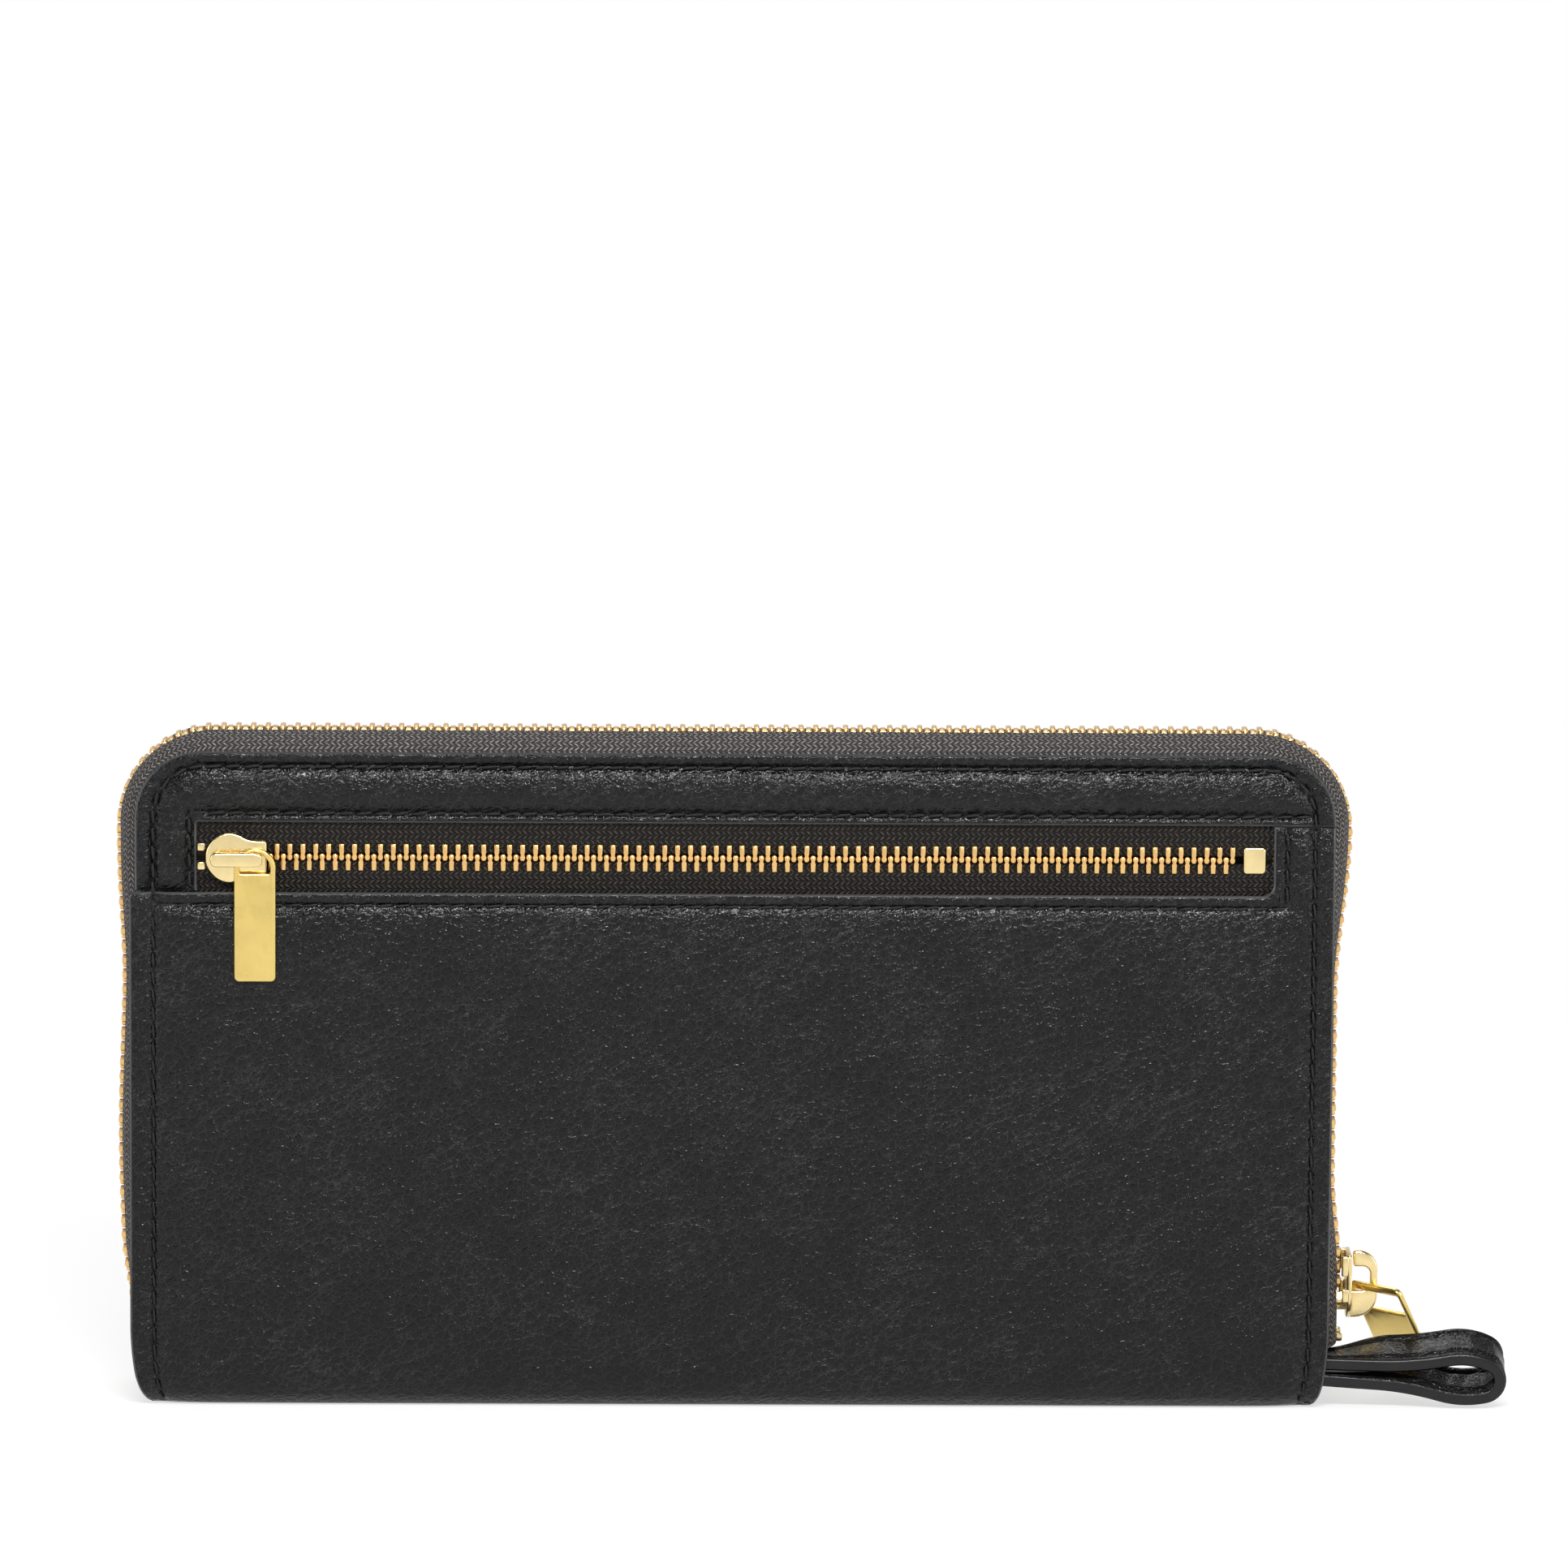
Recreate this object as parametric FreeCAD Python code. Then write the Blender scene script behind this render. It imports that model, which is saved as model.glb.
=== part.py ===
import FreeCAD, Part
import math
import os

from FreeCAD import Placement, Rotation, Vector

# A zip around wallet standing on its spine. Millimetres. X runs along the spine, +Z is up, and Y runs from the
# back cover, at negative Y, which has the zipped outer pocket, to the front cover. The origin is the middle of
# the spine's flat underside. The back cover, the spine and everything sewn to them stand still; the front cover
# turns about the middle of its rounded fold, and the coin divider about its own rounded bottom.

# ---- driving sizes ----
cover_width = 190.6        # straight leather edge to leather edge, over the yoke
cover_height = 106.4       # underside of the spine to the covers' top edge
wallet_depth = 25.0        # over both leather faces
cover_corner = 10.5        # radius of a cover's top corners
foot_corner = 2.0          # radius where a cover's side edge meets the spine
foot_taper = 1.2           # the covers narrow by this much on each side, over foot_height
foot_height = 9.0
fold_radius = 5.0          # outer radius of the spine's long edges
panel_step = 0.9           # the main panel stands out from the yoke at the left edge

leather = 1.3              # thickness of the outer leather
tape = 0.5                 # zip tape
board = 1.0                # stiffener
lining = 0.4
card_ply = 0.3             # one card panel
bag_ply = 0.2              # outer pocket bag
bag_room = 1.2             # depth kept for that bag behind the tapes
ply_gap = 0.05             # air between two sewn layers

window_side = 9.8          # pocket zip's opening in the back cover, from the cover's side edges
window_head = 11.4         # and from its top edge
window_height = 11.2
window_corner = 2.0

# ---- the zip that runs round the covers ----
zip_stand_side = 3.2       # outermost face of the teeth beyond the covers' side edges
zip_stand_top = 2.2        # and beyond their top edge
zip_corner = 16.0          # radius of that face at the top corners
zip_foot_left = 6.0        # height at which the tapes end, left
zip_foot_right = 9.4       # and right, above the wrist loop
tape_bend = 2.5            # size of the tape's slanted turn into the cover
tape_seam = 9.0            # width of tape sewn in behind the leather
teeth_start = 14.3         # height of the first tooth at the left end
teeth_end = 11.2           # lowest that a tooth may stand at the right end
main_zip = dict(pitch=2.36, half=2.9, reach=0.7, leg=0.84, head=1.0, thick=2.2)

# ---- the zip of the outer pocket ----
pocket_zip = dict(pitch=2.05, half=2.17, reach=0.55, leg=0.8, head=0.88, thick=1.7)
pocket_tape_seam = 3.6     # tape hidden behind the leather on each side of the window
pocket_end_room = 1.2      # from the end box to the window's right edge
end_box_length = 3.6       # the stop that joins both halves at the end of a zip
end_box_corner = 0.6
stop_size = 1.3            # side of a small crimped stop

# ---- sliders: lengths along the chain, widths across it ----
plate_thick = 0.8          # a slider's two plates
chain_play = 0.12          # between teeth and slider
tape_slot = 0.36           # half the gap that the tape passes through
pocket_slider_length = 9.7
pocket_slider_wide = 8.0
pocket_slider_tail = 5.6
pocket_slider_inset = 6.3  # middle of the body from the window's left edge, zip closed
main_slider_length = 10.8
main_slider_wide = 9.0
main_slider_tail = 7.6
main_slider_at = 18.2      # middle of the body above the base, zip closed
wedge_width = 1.6          # post that joins the plates and parts the teeth
bridge_width = 2.2         # the bar that a hanging pull plate is threaded on
bridge_bar = 0.9           # thickness of that bar
bridge_pin = 1.4           # diameter of the leg that the pull turns on
bridge_nose = 0.5          # the bar's reach beyond that leg
pull_thick = 1.0
pull_play = 0.15           # between the pull and what it lies against
pull_width = 6.6
pull_length = 21.5
pull_eye_height = 3.2      # D-shaped eye, flat at the bottom
pull_eye_rim = 0.85
pull_corner = 0.8

crown_thick = 1.0          # hook of the main slider
crown_window = 3.1         # inside height of the hook above the plate
crown_rim = 1.2
crown_foot = 4.4           # length of the hook's lower arm, along the slider
crown_tip = 2.8            # length of its free end
crown_over = 0.35          # the free end's reach beyond the plates
crown_gap = 0.25           # between the hook's free end and the plate
tab_turn = 45.0            # degrees that the hanging tab is turned on the hook
tab_lean = 32.0            # degrees that its lower end leans away, behind the wrist loop
tab_thick = 0.8
tab_width = 10.8
tab_length = 15.0
tab_arm = 0.8              # rim beside the tab's hole
tab_bar = 1.3              # height of the bar inside the hook
tab_hole = 5.0             # height of the hole
tab_corner = 1.2
tab_seat = 0.50            # place of the tab's bar in the hook, as a share of the window

# ---- wrist loop, a two-ply strap ----
strap_thick = 2.0
strap_width = 8.2
strap_front = -10.8        # its nearer edge along Y
strap_tail = 1.5           # length sewn in behind the cover's edge
strap_reach = 29.0         # from the cover's edge to the outside of the fold
strap_upper = 7.5          # height of the upper leg's middle where it leaves the cover
strap_lower = 4.85         # and of the lower leg's

# ---- inside ----
board_inset = 2.6          # stiffener, from the covers' edges
lining_inset = 3.0
inner_foot = 5.6           # height at which boards, linings and card panels start
inner_corner = 4.0         # smallest radius of an inner layer's top corners
card_inset = 6.5           # card panels' side edges, from the covers' edges
card_panels = 4            # on each cover
card_head = 22.4           # tallest card panel's edge below the covers' top edge
card_step = 8.5
bag_inset = 12.0           # outer pocket bag, from the covers' side edges
bag_floor = 14.0
coin_side = 10.3           # the divider's ends, from the covers' side edges
coin_depth = 3.4           # over both walls of the coin pocket
coin_wall = 0.6
coin_head = 14.4           # the divider's top edge below the covers' top edge
coin_mouth_drop = 12.0     # its lower front wall's top edge below its own top edge
coin_gap = 6.0             # between that edge and the facing above
coin_clear = 0.35          # under its rounded bottom
coin_tape = 0.3
coin_tape_seam = 5.0
coin_zip = dict(half=2.0, thick=1.2)
coin_zip_end = 6.0         # coil's end, from the divider's right edge
coin_slider_length = 7.4
coin_slider_wide = 5.8
coin_slider_tail = 5.2
coin_slider_inset = 17.0   # middle of the body from the divider's left end, zip closed
coin_pull_width = 5.2
coin_pull_length = 13.0
coin_eye_height = 2.6
gusset_ply = 0.4
gusset_play = 0.3          # from a gusset to the divider and to the card panels
gusset_fold = 20.0         # how far a folded gusset reaches in from its seam
gusset_head = 36.0         # a gusset's upper end below the covers' top edge

# ---- what follows from them ----
half_width = cover_width / 2
face = wallet_depth / 2
zip_half = half_width + zip_stand_side
zip_top = cover_height + zip_stand_top
window_width = cover_width - 2 * window_side
window_top = cover_height - window_head
window_bottom = window_top - window_height
zip_mid = (window_bottom + window_top) / 2
pocket_slider_at = pocket_slider_inset - window_width / 2
card_top = cover_height - card_head
coin_width = cover_width - 2 * coin_side
coin_top = cover_height - coin_head
coin_mouth = coin_top - coin_mouth_drop
coin_slider_at = coin_slider_inset - coin_width / 2
gusset_top = cover_height - gusset_head
fold_y = face - fold_radius
main_tape_reach = main_zip["thick"] / 2 + tape_bend + tape_seam
coin_axis_z = leather + ply_gap + lining + coin_clear + coin_depth / 2
X, Y, Z = Vector(1, 0, 0), Vector(0, 1, 0), Vector(0, 0, 1)


def layers(start, *thicknesses):
    """(outer, inner) distance of each sewn layer from the mid-plane, from the leather inwards."""
    found = []
    for thick in thicknesses:
        found.append((start, start - thick))
        start -= thick + ply_gap
    return found


LEATHER, POCKET_TAPE, MAIN_TAPE, ROOM, BOARD, LINING, *CARDS = layers(
    face, leather, tape, tape, bag_room, board, lining, *[card_ply] * card_panels
)
BACK, FRONT = -1, 1
pocket_zip_y = (POCKET_TAPE[0] + POCKET_TAPE[1]) / 2


def box(x0, x1, y0, y1, z0, z1):
    return Part.makeBox(x1 - x0, y1 - y0, z1 - z0, Vector(x0, y0, z0))


def upright(a, b):
    return Vector(a, 0, b)


def lying(a, b):
    return Vector(a, b, 0)


def profile(*corners, lay=upright):
    """Face inside straight lines through (a, b, radius) corners, each rounded to its radius."""
    points = [lay(a, b) for a, b, _ in corners]
    stops = []
    for n, (_, _, radius) in enumerate(corners):
        here = points[n]
        back, on = (points[n - 1] - here).normalize(), (points[(n + 1) % len(points)] - here).normalize()
        half = back.getAngle(on) / 2
        run = radius / math.tan(half)
        middle = here + (back + on).normalize() * (radius / math.sin(half) - radius) if radius else here
        stops.append((here + back * run, middle, here + on * run))
    edges = []
    for n, (start, middle, end) in enumerate(stops):
        if corners[n][2]:
            edges.append(Part.Arc(start, middle, end).toShape())
        following = stops[(n + 1) % len(stops)][0]
        if end.distanceToPoint(following) > 1e-6:
            edges.append(Part.makeLine(end, following))
    return Part.Face(Part.Wire(edges))


def rectangle(x0, x1, z0, z1, radius=0.0, lay=upright):
    return profile((x0, z0, radius), (x1, z0, radius), (x1, z1, radius), (x0, z1, radius), lay=lay)


def arch(inset, foot):
    """A cover's outline, inset from its edges: straight sides from foot up, and round top corners."""
    half, top, corner = half_width - inset, cover_height - inset, max(cover_corner - inset, inner_corner)
    return profile((-half, foot, 0), (half, foot, 0), (half, top, corner), (-half, top, corner))


def cover_outline(step):
    """The whole cover with its tapered foot; step widens it at the left edge."""
    left, right, taper = -half_width - step, half_width, foot_taper
    return profile(
        (left + taper, 0, foot_corner), (right - taper, 0, foot_corner), (right, foot_height, 0),
        (right, cover_height, cover_corner), (left, cover_height, cover_corner), (left, foot_height, 0),
    )


def slab(shape, near, far):
    """An outline in the XZ plane, made solid from one Y to another."""
    low, high = sorted((near, far))
    return shape.translated(Y * low).extrude(Y * (high - low))


def sheet(shape, layer, side):
    """An outline in the XZ plane, made solid in its layer on one side of the mid-plane."""
    return slab(shape, side * layer[0], side * layer[1])


def turned(shape, x_to, z_to, at):
    """Place a shape drawn with X along and Z outwards, so that its X and Z point along x_to and z_to."""
    turn = Rotation(x_to, z_to.cross(x_to), z_to, "XZY")
    return shape.transformed(Placement(at, turn).toMatrix(), True)


def save(name, shape):
    shape.exportStep(f"parts/{name}.step")


# ---- leather ----
def fold(side):
    """Quarter round along X that joins a cover to the spine's flat underside."""
    reach = half_width + panel_step
    centre = Vector(-reach, side * fold_y, fold_radius)
    tube = Part.makeCylinder(fold_radius, 2 * reach, centre, X)
    bore = Part.makeCylinder(fold_radius - leather, 2 * reach, centre, X)
    y0, y1 = sorted((side * fold_y, side * face))
    return tube.cut(bore).common(box(-reach, reach, y0, y1, 0, fold_radius))


def leather_pieces():
    reach, beyond = half_width + panel_step, cover_width
    window = window_width / 2
    whole = slab(cover_outline(0), -face, face)
    widened = slab(cover_outline(panel_step), -face, face)

    panel = sheet(rectangle(-reach, reach, fold_radius, window_top), LEATHER, BACK)
    beside = rectangle(-beyond, window, window_bottom, window_top + beyond, window_corner)
    base = box(-reach, reach, -fold_y, fold_y, 0, leather)
    body = panel.cut(sheet(beside, LEATHER, BACK)).multiFuse([fold(BACK), base]).removeSplitter()
    save("main_panel_leather", body.common(widened))

    yoke = sheet(cover_outline(0), LEATHER, BACK)
    beside = rectangle(-window, beyond, window_bottom - beyond, window_top, window_corner)
    below = rectangle(-beyond, beyond, -beyond, window_bottom)
    save("yoke_leather", yoke.cut([sheet(beside, LEATHER, BACK), sheet(below, LEATHER, BACK)]))

    above = rectangle(-beyond, beyond, fold_radius, fold_radius + beyond)
    front = sheet(cover_outline(0), LEATHER, FRONT).common(sheet(above, LEATHER, FRONT))
    save("front_panel_leather", front)
    save("front_fold_leather", fold(FRONT).common(whole))
    inner = half_width - lining_inset
    lining_z = leather + ply_gap
    save("spine_lining", box(-inner, inner, -fold_y, fold_y, lining_z, lining_z + lining))


# ---- zips ----
def tooth(spec):
    """One tooth at the origin: X along the chain, leg at -Y on the tape's edge, Z outwards."""
    leg, head = spec["leg"] / 2, spec["head"] / 2
    low, high = -spec["half"], spec["reach"]
    flat = profile((-leg, low, 0), (leg, low, 0), (head, 0, 0), (0, high, 0), (-head, 0, 0), lay=lying)
    return flat.translated(Z * -spec["thick"] / 2).extrude(Z * spec["thick"])


def main_path(along):
    """(point on the teeth's middle surface, degrees about Y) at a distance along the zip from its left foot."""
    radius = zip_corner - main_zip["thick"] / 2
    cx, cz = zip_half - zip_corner, zip_top - zip_corner
    rise, run, quarter = cz - zip_foot_left, 2 * cx, math.pi / 2 * radius
    if along < rise:
        return Vector(-cx - radius, 0, zip_foot_left + along), -90
    along -= rise
    if along < quarter:
        turn = along / radius
        return Vector(-cx - radius * math.cos(turn), 0, cz + radius * math.sin(turn)), math.degrees(turn) - 90
    along -= quarter
    if along < run:
        return Vector(-cx + along, 0, cz + radius), 0
    along -= run
    if along < quarter:
        turn = along / radius
        return Vector(cx + radius * math.sin(turn), 0, cz + radius * math.cos(turn)), math.degrees(turn)
    return Vector(cx + radius, 0, cz - (along - quarter)), 90


def main_teeth(side):
    """The teeth of one half, from the start box to the last one, but none where the slider's wedge stands."""
    wedge_low = main_slider_at - main_slider_length / 2 - main_zip["head"]
    wedge_high = main_slider_at - main_slider_length * 0.06
    one, teeth = tooth(main_zip), []
    if side == FRONT:
        one = one.mirror(Vector(), Y)
    along = teeth_start - zip_foot_left + (main_zip["pitch"] / 2 if side == FRONT else 0)
    point, turn = main_path(along)
    while turn < 90 or point.z > teeth_end:
        if turn < 90 or not wedge_low < point.z < wedge_high:
            teeth.append(one.transformed(Placement(point, Rotation(Y, turn)).toMatrix(), True))
        along += main_zip["pitch"]
        point, turn = main_path(along)
    return Part.makeCompound(teeth)


def main_tape(side):
    """Tape: a flat band beside the teeth, a slanted turn, and the seam allowance behind the leather."""
    band, seam_end = main_zip["thick"] / 2, main_tape_reach
    outer, inner = MAIN_TAPE
    near, far = band - tape / 2, band + tape / 2
    bend_step = tape * math.tan(math.pi / 8)
    section = profile(
        (near, main_zip["half"], 0), (near, outer - tape_bend, 0), (near + tape_bend, outer, 0),
        (seam_end, outer, 0), (seam_end, inner, 0), (near + tape_bend + bend_step, inner, 0),
        (far, outer - tape_bend - bend_step, 0), (far, main_zip["half"], 0),
        lay=lambda into, out: Vector(into - zip_half, side * out, zip_foot_left),
    )
    corner_x, corner_z = zip_half - zip_corner, zip_top - zip_corner
    rise, run, drop = corner_z - zip_foot_left, 2 * corner_x, corner_z - zip_foot_right
    pieces = [section.extrude(Z * rise)]
    end = section.translated(Z * rise)
    for x, onward in ((-corner_x, X * run), (corner_x, Z * -drop)):
        corner = Vector(x, 0, corner_z)
        pieces.append(end.revolve(corner, Y, 90))
        end = end.rotated(corner, Y, 90)
        pieces.append(end.extrude(onward))
        end = end.translated(onward)
    return pieces[0].multiFuse(pieces[1:]).removeSplitter()


def main_zip_pieces():
    thick, half = main_zip["thick"], main_zip["half"]
    stop_x = zip_half - thick / 2 + stop_size / 2
    stop_z = teeth_end - main_zip["head"] / 2 - ply_gap
    for name, side in (("back", BACK), ("front", FRONT)):
        save(f"main_zip_tape_{name}", main_tape(side))
        save(f"main_zip_teeth_{name}", main_teeth(side))
        y0, y1 = sorted((side * half, side * (half - stop_size)))
        save(f"main_zip_stop_{name}", box(stop_x - stop_size, stop_x, y0, y1, stop_z - stop_size, stop_z))
    start_z = teeth_start - main_zip["head"] / 2 - ply_gap
    start = box(-zip_half, thick - zip_half, -half, half, start_z - end_box_length, start_z)
    save("main_zip_start_box", start)


def pocket_teeth(side):
    """Teeth of the outer pocket's zip; side 1 is the upper half, whose heads point down."""
    one = turned(tooth(pocket_zip), X * -side, -Y, Vector(0, -pocket_zip_y, zip_mid))
    x = pocket_slider_at + pocket_slider_length * 0.56 + (pocket_zip["pitch"] / 2 if side > 0 else 0)
    last, teeth = window_width / 2 - pocket_end_room - end_box_length - pocket_zip["head"], []
    while x < last:
        teeth.append(one.translated(X * x))
        x += pocket_zip["pitch"]
    return Part.makeCompound(teeth)


def pocket_zip_pieces():
    reach, half = window_width / 2 + pocket_tape_seam, pocket_zip["half"]
    spans = {1: (zip_mid + half, window_top + pocket_tape_seam), -1: (window_bottom - pocket_tape_seam, zip_mid - half)}
    stop_x = pocket_slider_at - pocket_slider_length / 2 - ply_gap
    for name, side in (("upper", 1), ("lower", -1)):
        save(f"pocket_zip_tape_{name}", sheet(rectangle(-reach, reach, *spans[side]), POCKET_TAPE, BACK))
        save(f"pocket_zip_teeth_{name}", pocket_teeth(side))
        z0, z1 = sorted((zip_mid + side * half, zip_mid + side * (half - stop_size)))
        y0, y1 = -pocket_zip_y - stop_size / 2, -pocket_zip_y + stop_size / 2
        save(f"pocket_zip_stop_{name}", box(stop_x - stop_size, stop_x, y0, y1, z0, z1))
    end_x, thick = window_width / 2 - pocket_end_room, pocket_zip["thick"] / 2
    end = rectangle(end_x - end_box_length, end_x, zip_mid - half, zip_mid + half, end_box_corner)
    save("pocket_zip_end_box", slab(end, -pocket_zip_y - thick, -pocket_zip_y + thick))

    side, out, into = half_width - bag_inset, POCKET_TAPE[0], ROOM[1]
    mouth = spans[-1][0] - ply_gap
    bag = box(-side, side, -out, -into, bag_floor, mouth)
    rear = box(-side, side, -into - bag_ply, -into, bag_floor, zip_top - main_tape_reach - ply_gap)
    hollow = box(-side + bag_ply, side - bag_ply, -out + bag_ply, -into - bag_ply, bag_floor + bag_ply, mouth + 1)
    save("pocket_bag", bag.fuse(rear).cut(hollow).removeSplitter())


# ---- sliders and pulls, drawn with the chain along X, the wide end at -X and Z outwards ----
def slider_body(length, wide, tail, chain):
    """(two plates joined by the wedge, with flanges that leave the tapes a slot; height of the top plate)."""
    end, w, t = length / 2, wide / 2, tail / 2
    room = chain["thick"] / 2 + chain_play
    half_plan = [(-end, w * 0.4, w * 0.3), (-end * 0.54, w, w * 0.35), (0, w, w * 0.25), (end * 0.4, t, w * 0.35),
                 (end, t, 0.3)]
    plan = profile(*[(a, -b, r) for a, b, r in half_plan], *reversed(half_plan), lay=lying)
    post = wedge_width / 2
    wedge = profile((-end * 0.8, 0, 0), (-end * 0.5, -post, 0), (-end * 0.2, 0, 0), (-end * 0.5, post, 0), lay=lying)
    parts = [plan.translated(Z * room).extrude(Z * plate_thick),
             plan.translated(Z * -(room + plate_thick)).extrude(Z * plate_thick),
             wedge.translated(Z * -room).extrude(Z * room * 2)]
    flange = t - chain["half"] - chain_play
    for start, stop, outer in ((end * 0.4, end - 0.3, t), (-end * 0.35, -end * 0.05, w)):
        for y in (outer - flange, -outer):
            for z in (tape_slot, -room):
                parts.append(box(start, stop, y, y + flange, z, z + room - tape_slot))
    return parts[0].multiFuse(parts[1:]).removeSplitter(), room + plate_thick


def bridge(length, plate, pin_at):
    """The bar over the top plate: a flat foot at the wide end, and a round pin that the pull turns on."""
    under = plate + pull_thick + 2 * pull_play
    top, back, ahead = under + bridge_bar, -length * 0.42, pin_at + bridge_pin / 2 + bridge_nose
    bar = profile(
        (back, plate, 0), (back + bridge_bar, plate, 0), (back + bridge_bar, under, 0.3), (ahead, under, 0),
        (ahead, top, bridge_bar * 0.7), (back, top, bridge_bar * 0.7),
    )
    pin = Part.makeCylinder(bridge_pin / 2, under - plate + bridge_bar / 2, Vector(pin_at, 0, plate))
    return slab(bar, -bridge_width / 2, bridge_width / 2).fuse(pin).removeSplitter()


def hanging_pull(width, length, eye_height):
    """Pull plate whose D-shaped eye hangs on a pin at the origin; it hangs along -Y, and Z is outwards."""
    w, e = width / 2, width / 2 - pull_eye_rim
    crest = bridge_pin / 2 + pull_play
    top = crest + pull_eye_rim
    plate = profile(
        (-w, top - length, pull_corner), (w, top - length, pull_corner),
        (w, top, w * 0.98), (-w, top, w * 0.98), lay=lying,
    ).extrude(Z * pull_thick)
    eye = profile(
        (-e, crest - eye_height, 0.3), (e, crest - eye_height, 0.3), (e, crest, e * 0.98), (-e, crest, e * 0.98),
        lay=lying,
    ).extrude(Z * pull_thick)
    return plate.cut(eye)


def hung_slider(name, body, plate, at, outwards, length, pull_size):
    """Save a slider's body and bridge and its pull plate, hung on the bridge's pin."""
    pin = length * 0.31
    save(f"{name}_slider_body", turned(body, X, outwards, at))
    save(f"{name}_slider_bridge", turned(bridge(length, plate, pin), X, outwards, at))
    pull = hanging_pull(*pull_size)
    if outwards.y > 0:
        pull = pull.mirror(Vector(), Y)
    save(f"{name}_pull", turned(pull, X, outwards, at + X * pin + outwards * (plate + pull_play)))


def pocket_slider_pieces():
    body, plate = slider_body(pocket_slider_length, pocket_slider_wide, pocket_slider_tail, pocket_zip)
    at = Vector(pocket_slider_at, -pocket_zip_y, zip_mid)
    hung_slider("pocket", body, plate, at, -Y, pocket_slider_length, (pull_width, pull_length, pull_eye_height))


def crown(length, plate):
    """Open hook that stands on the wide end of the top plate and bends over towards the narrow end."""
    foot, tip = -length / 2, length / 2 + crown_over
    base, free = foot + crown_foot, tip - crown_tip
    hollow, gap, top = plate + crown_window, plate + crown_gap, plate + crown_window + crown_rim
    hook = profile(
        (foot, plate, 0), (base, plate, 0), (base, hollow, 0.25), (free, hollow, crown_rim * 0.7),
        (free, gap, 0.2), (tip, gap, 0.4), (tip, top, crown_rim * 2.2), (foot, top, crown_rim * 2.7),
    )
    return slab(hook, -crown_thick / 2, crown_thick / 2)


def pull_tab():
    """Tab whose top bar lies in the hook at the origin: X runs along the bar, and the tab hangs along -Y."""
    near = -tab_arm - (crown_thick + tab_thick) * 0.7
    far, top = near + tab_width, tab_bar / 2
    plate = rectangle(near, far, top - tab_length, top, tab_corner, lay=lying)
    hole = rectangle(near + tab_arm, far - tab_arm, top - tab_bar - tab_hole, top - tab_bar, lay=lying)
    return plate.cut(hole).translated(Z * -tab_thick / 2).extrude(Z * tab_thick)


def main_slider_pieces():
    at = Vector(zip_half - main_zip["thick"] / 2, 0, main_slider_at)
    body, plate = slider_body(main_slider_length, main_slider_wide, main_slider_tail, main_zip)
    save("main_slider_body", turned(body, Z, X, at))
    save("main_slider_crown", turned(crown(main_slider_length, plate), Z, X, at))
    turn = math.radians(tab_turn)
    along_bar = Vector(math.sin(turn), -math.cos(turn), 0)
    seat = Vector(plate + crown_window * tab_seat, 0, tab_bar / 2 + pull_play + crown_foot - main_slider_length / 2)
    tab = turned(pull_tab(), along_bar, along_bar.cross(Z), at + seat)
    save("main_pull", tab.rotated(at + seat, along_bar, tab_lean))


# ---- wrist loop ----
def strap_loop():
    """Strap that leaves the cover's edge twice and turns round in a drop-shaped fold."""
    thick = strap_thick
    edge, tip = half_width - strap_tail, half_width + strap_reach - thick / 2
    neck, swell, floor = tip - strap_reach * 0.52, tip - strap_reach * 0.17, tip - strap_reach * 0.22
    route = Part.makePolygon([upright(x, z) for x, z in (
        (edge, strap_upper), (neck, strap_upper - thick * 0.3), (swell, strap_upper + thick * 0.5),
        (tip, strap_upper - thick * 0.7), (tip - thick * 0.35, strap_upper - thick * 2.6),
        (floor, strap_upper - thick * 3.15), (neck, strap_lower - thick * 0.6), (edge, strap_lower),
    )])
    strap = Part.Face(route.makeOffset2D(strap_thick / 2))
    return slab(strap, strap_front, strap_front + strap_width)


# ---- inside ----
def cover_insides():
    for name, side in (("back", BACK), ("front", FRONT)):
        save(f"{name}_board", sheet(arch(board_inset, inner_foot), BOARD, side))
        save(f"{name}_lining", sheet(arch(lining_inset, inner_foot), LINING, side))
        reach = half_width - card_inset
        for n, layer in enumerate(CARDS):
            panel = rectangle(-reach, reach, inner_foot, card_top - n * card_step)
            save(f"{name}_card_panel_{n + 1}", sheet(panel, layer, side))
    clear = main_tape_reach - min(zip_stand_side, zip_stand_top) + ply_gap
    save("front_foam", sheet(arch(clear, inner_foot), (POCKET_TAPE[0], ROOM[1]), FRONT))


def coin_wall_pieces():
    """The centre divider: one wall folded into a pocket, and the facing above its zip."""
    radius, reach = coin_depth / 2, coin_width / 2
    low = Vector(-reach, 0, coin_axis_z)
    bend = Part.makeCylinder(radius, coin_width, low, X)
    bend = bend.cut(Part.makeCylinder(radius - coin_wall, coin_width, low, X))
    bend = bend.common(box(-reach, reach, -radius, radius, 0, coin_axis_z))
    rear = box(-reach, reach, -radius, -radius + coin_wall, coin_axis_z, coin_top)
    near = box(-reach, reach, radius - coin_wall, radius, coin_axis_z, coin_mouth)
    save("coin_pocket_wall", bend.multiFuse([rear, near]).removeSplitter())
    facing = box(-reach, reach, radius - coin_wall, radius, coin_mouth + coin_gap, coin_top)
    save("coin_pocket_facing", facing)


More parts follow.
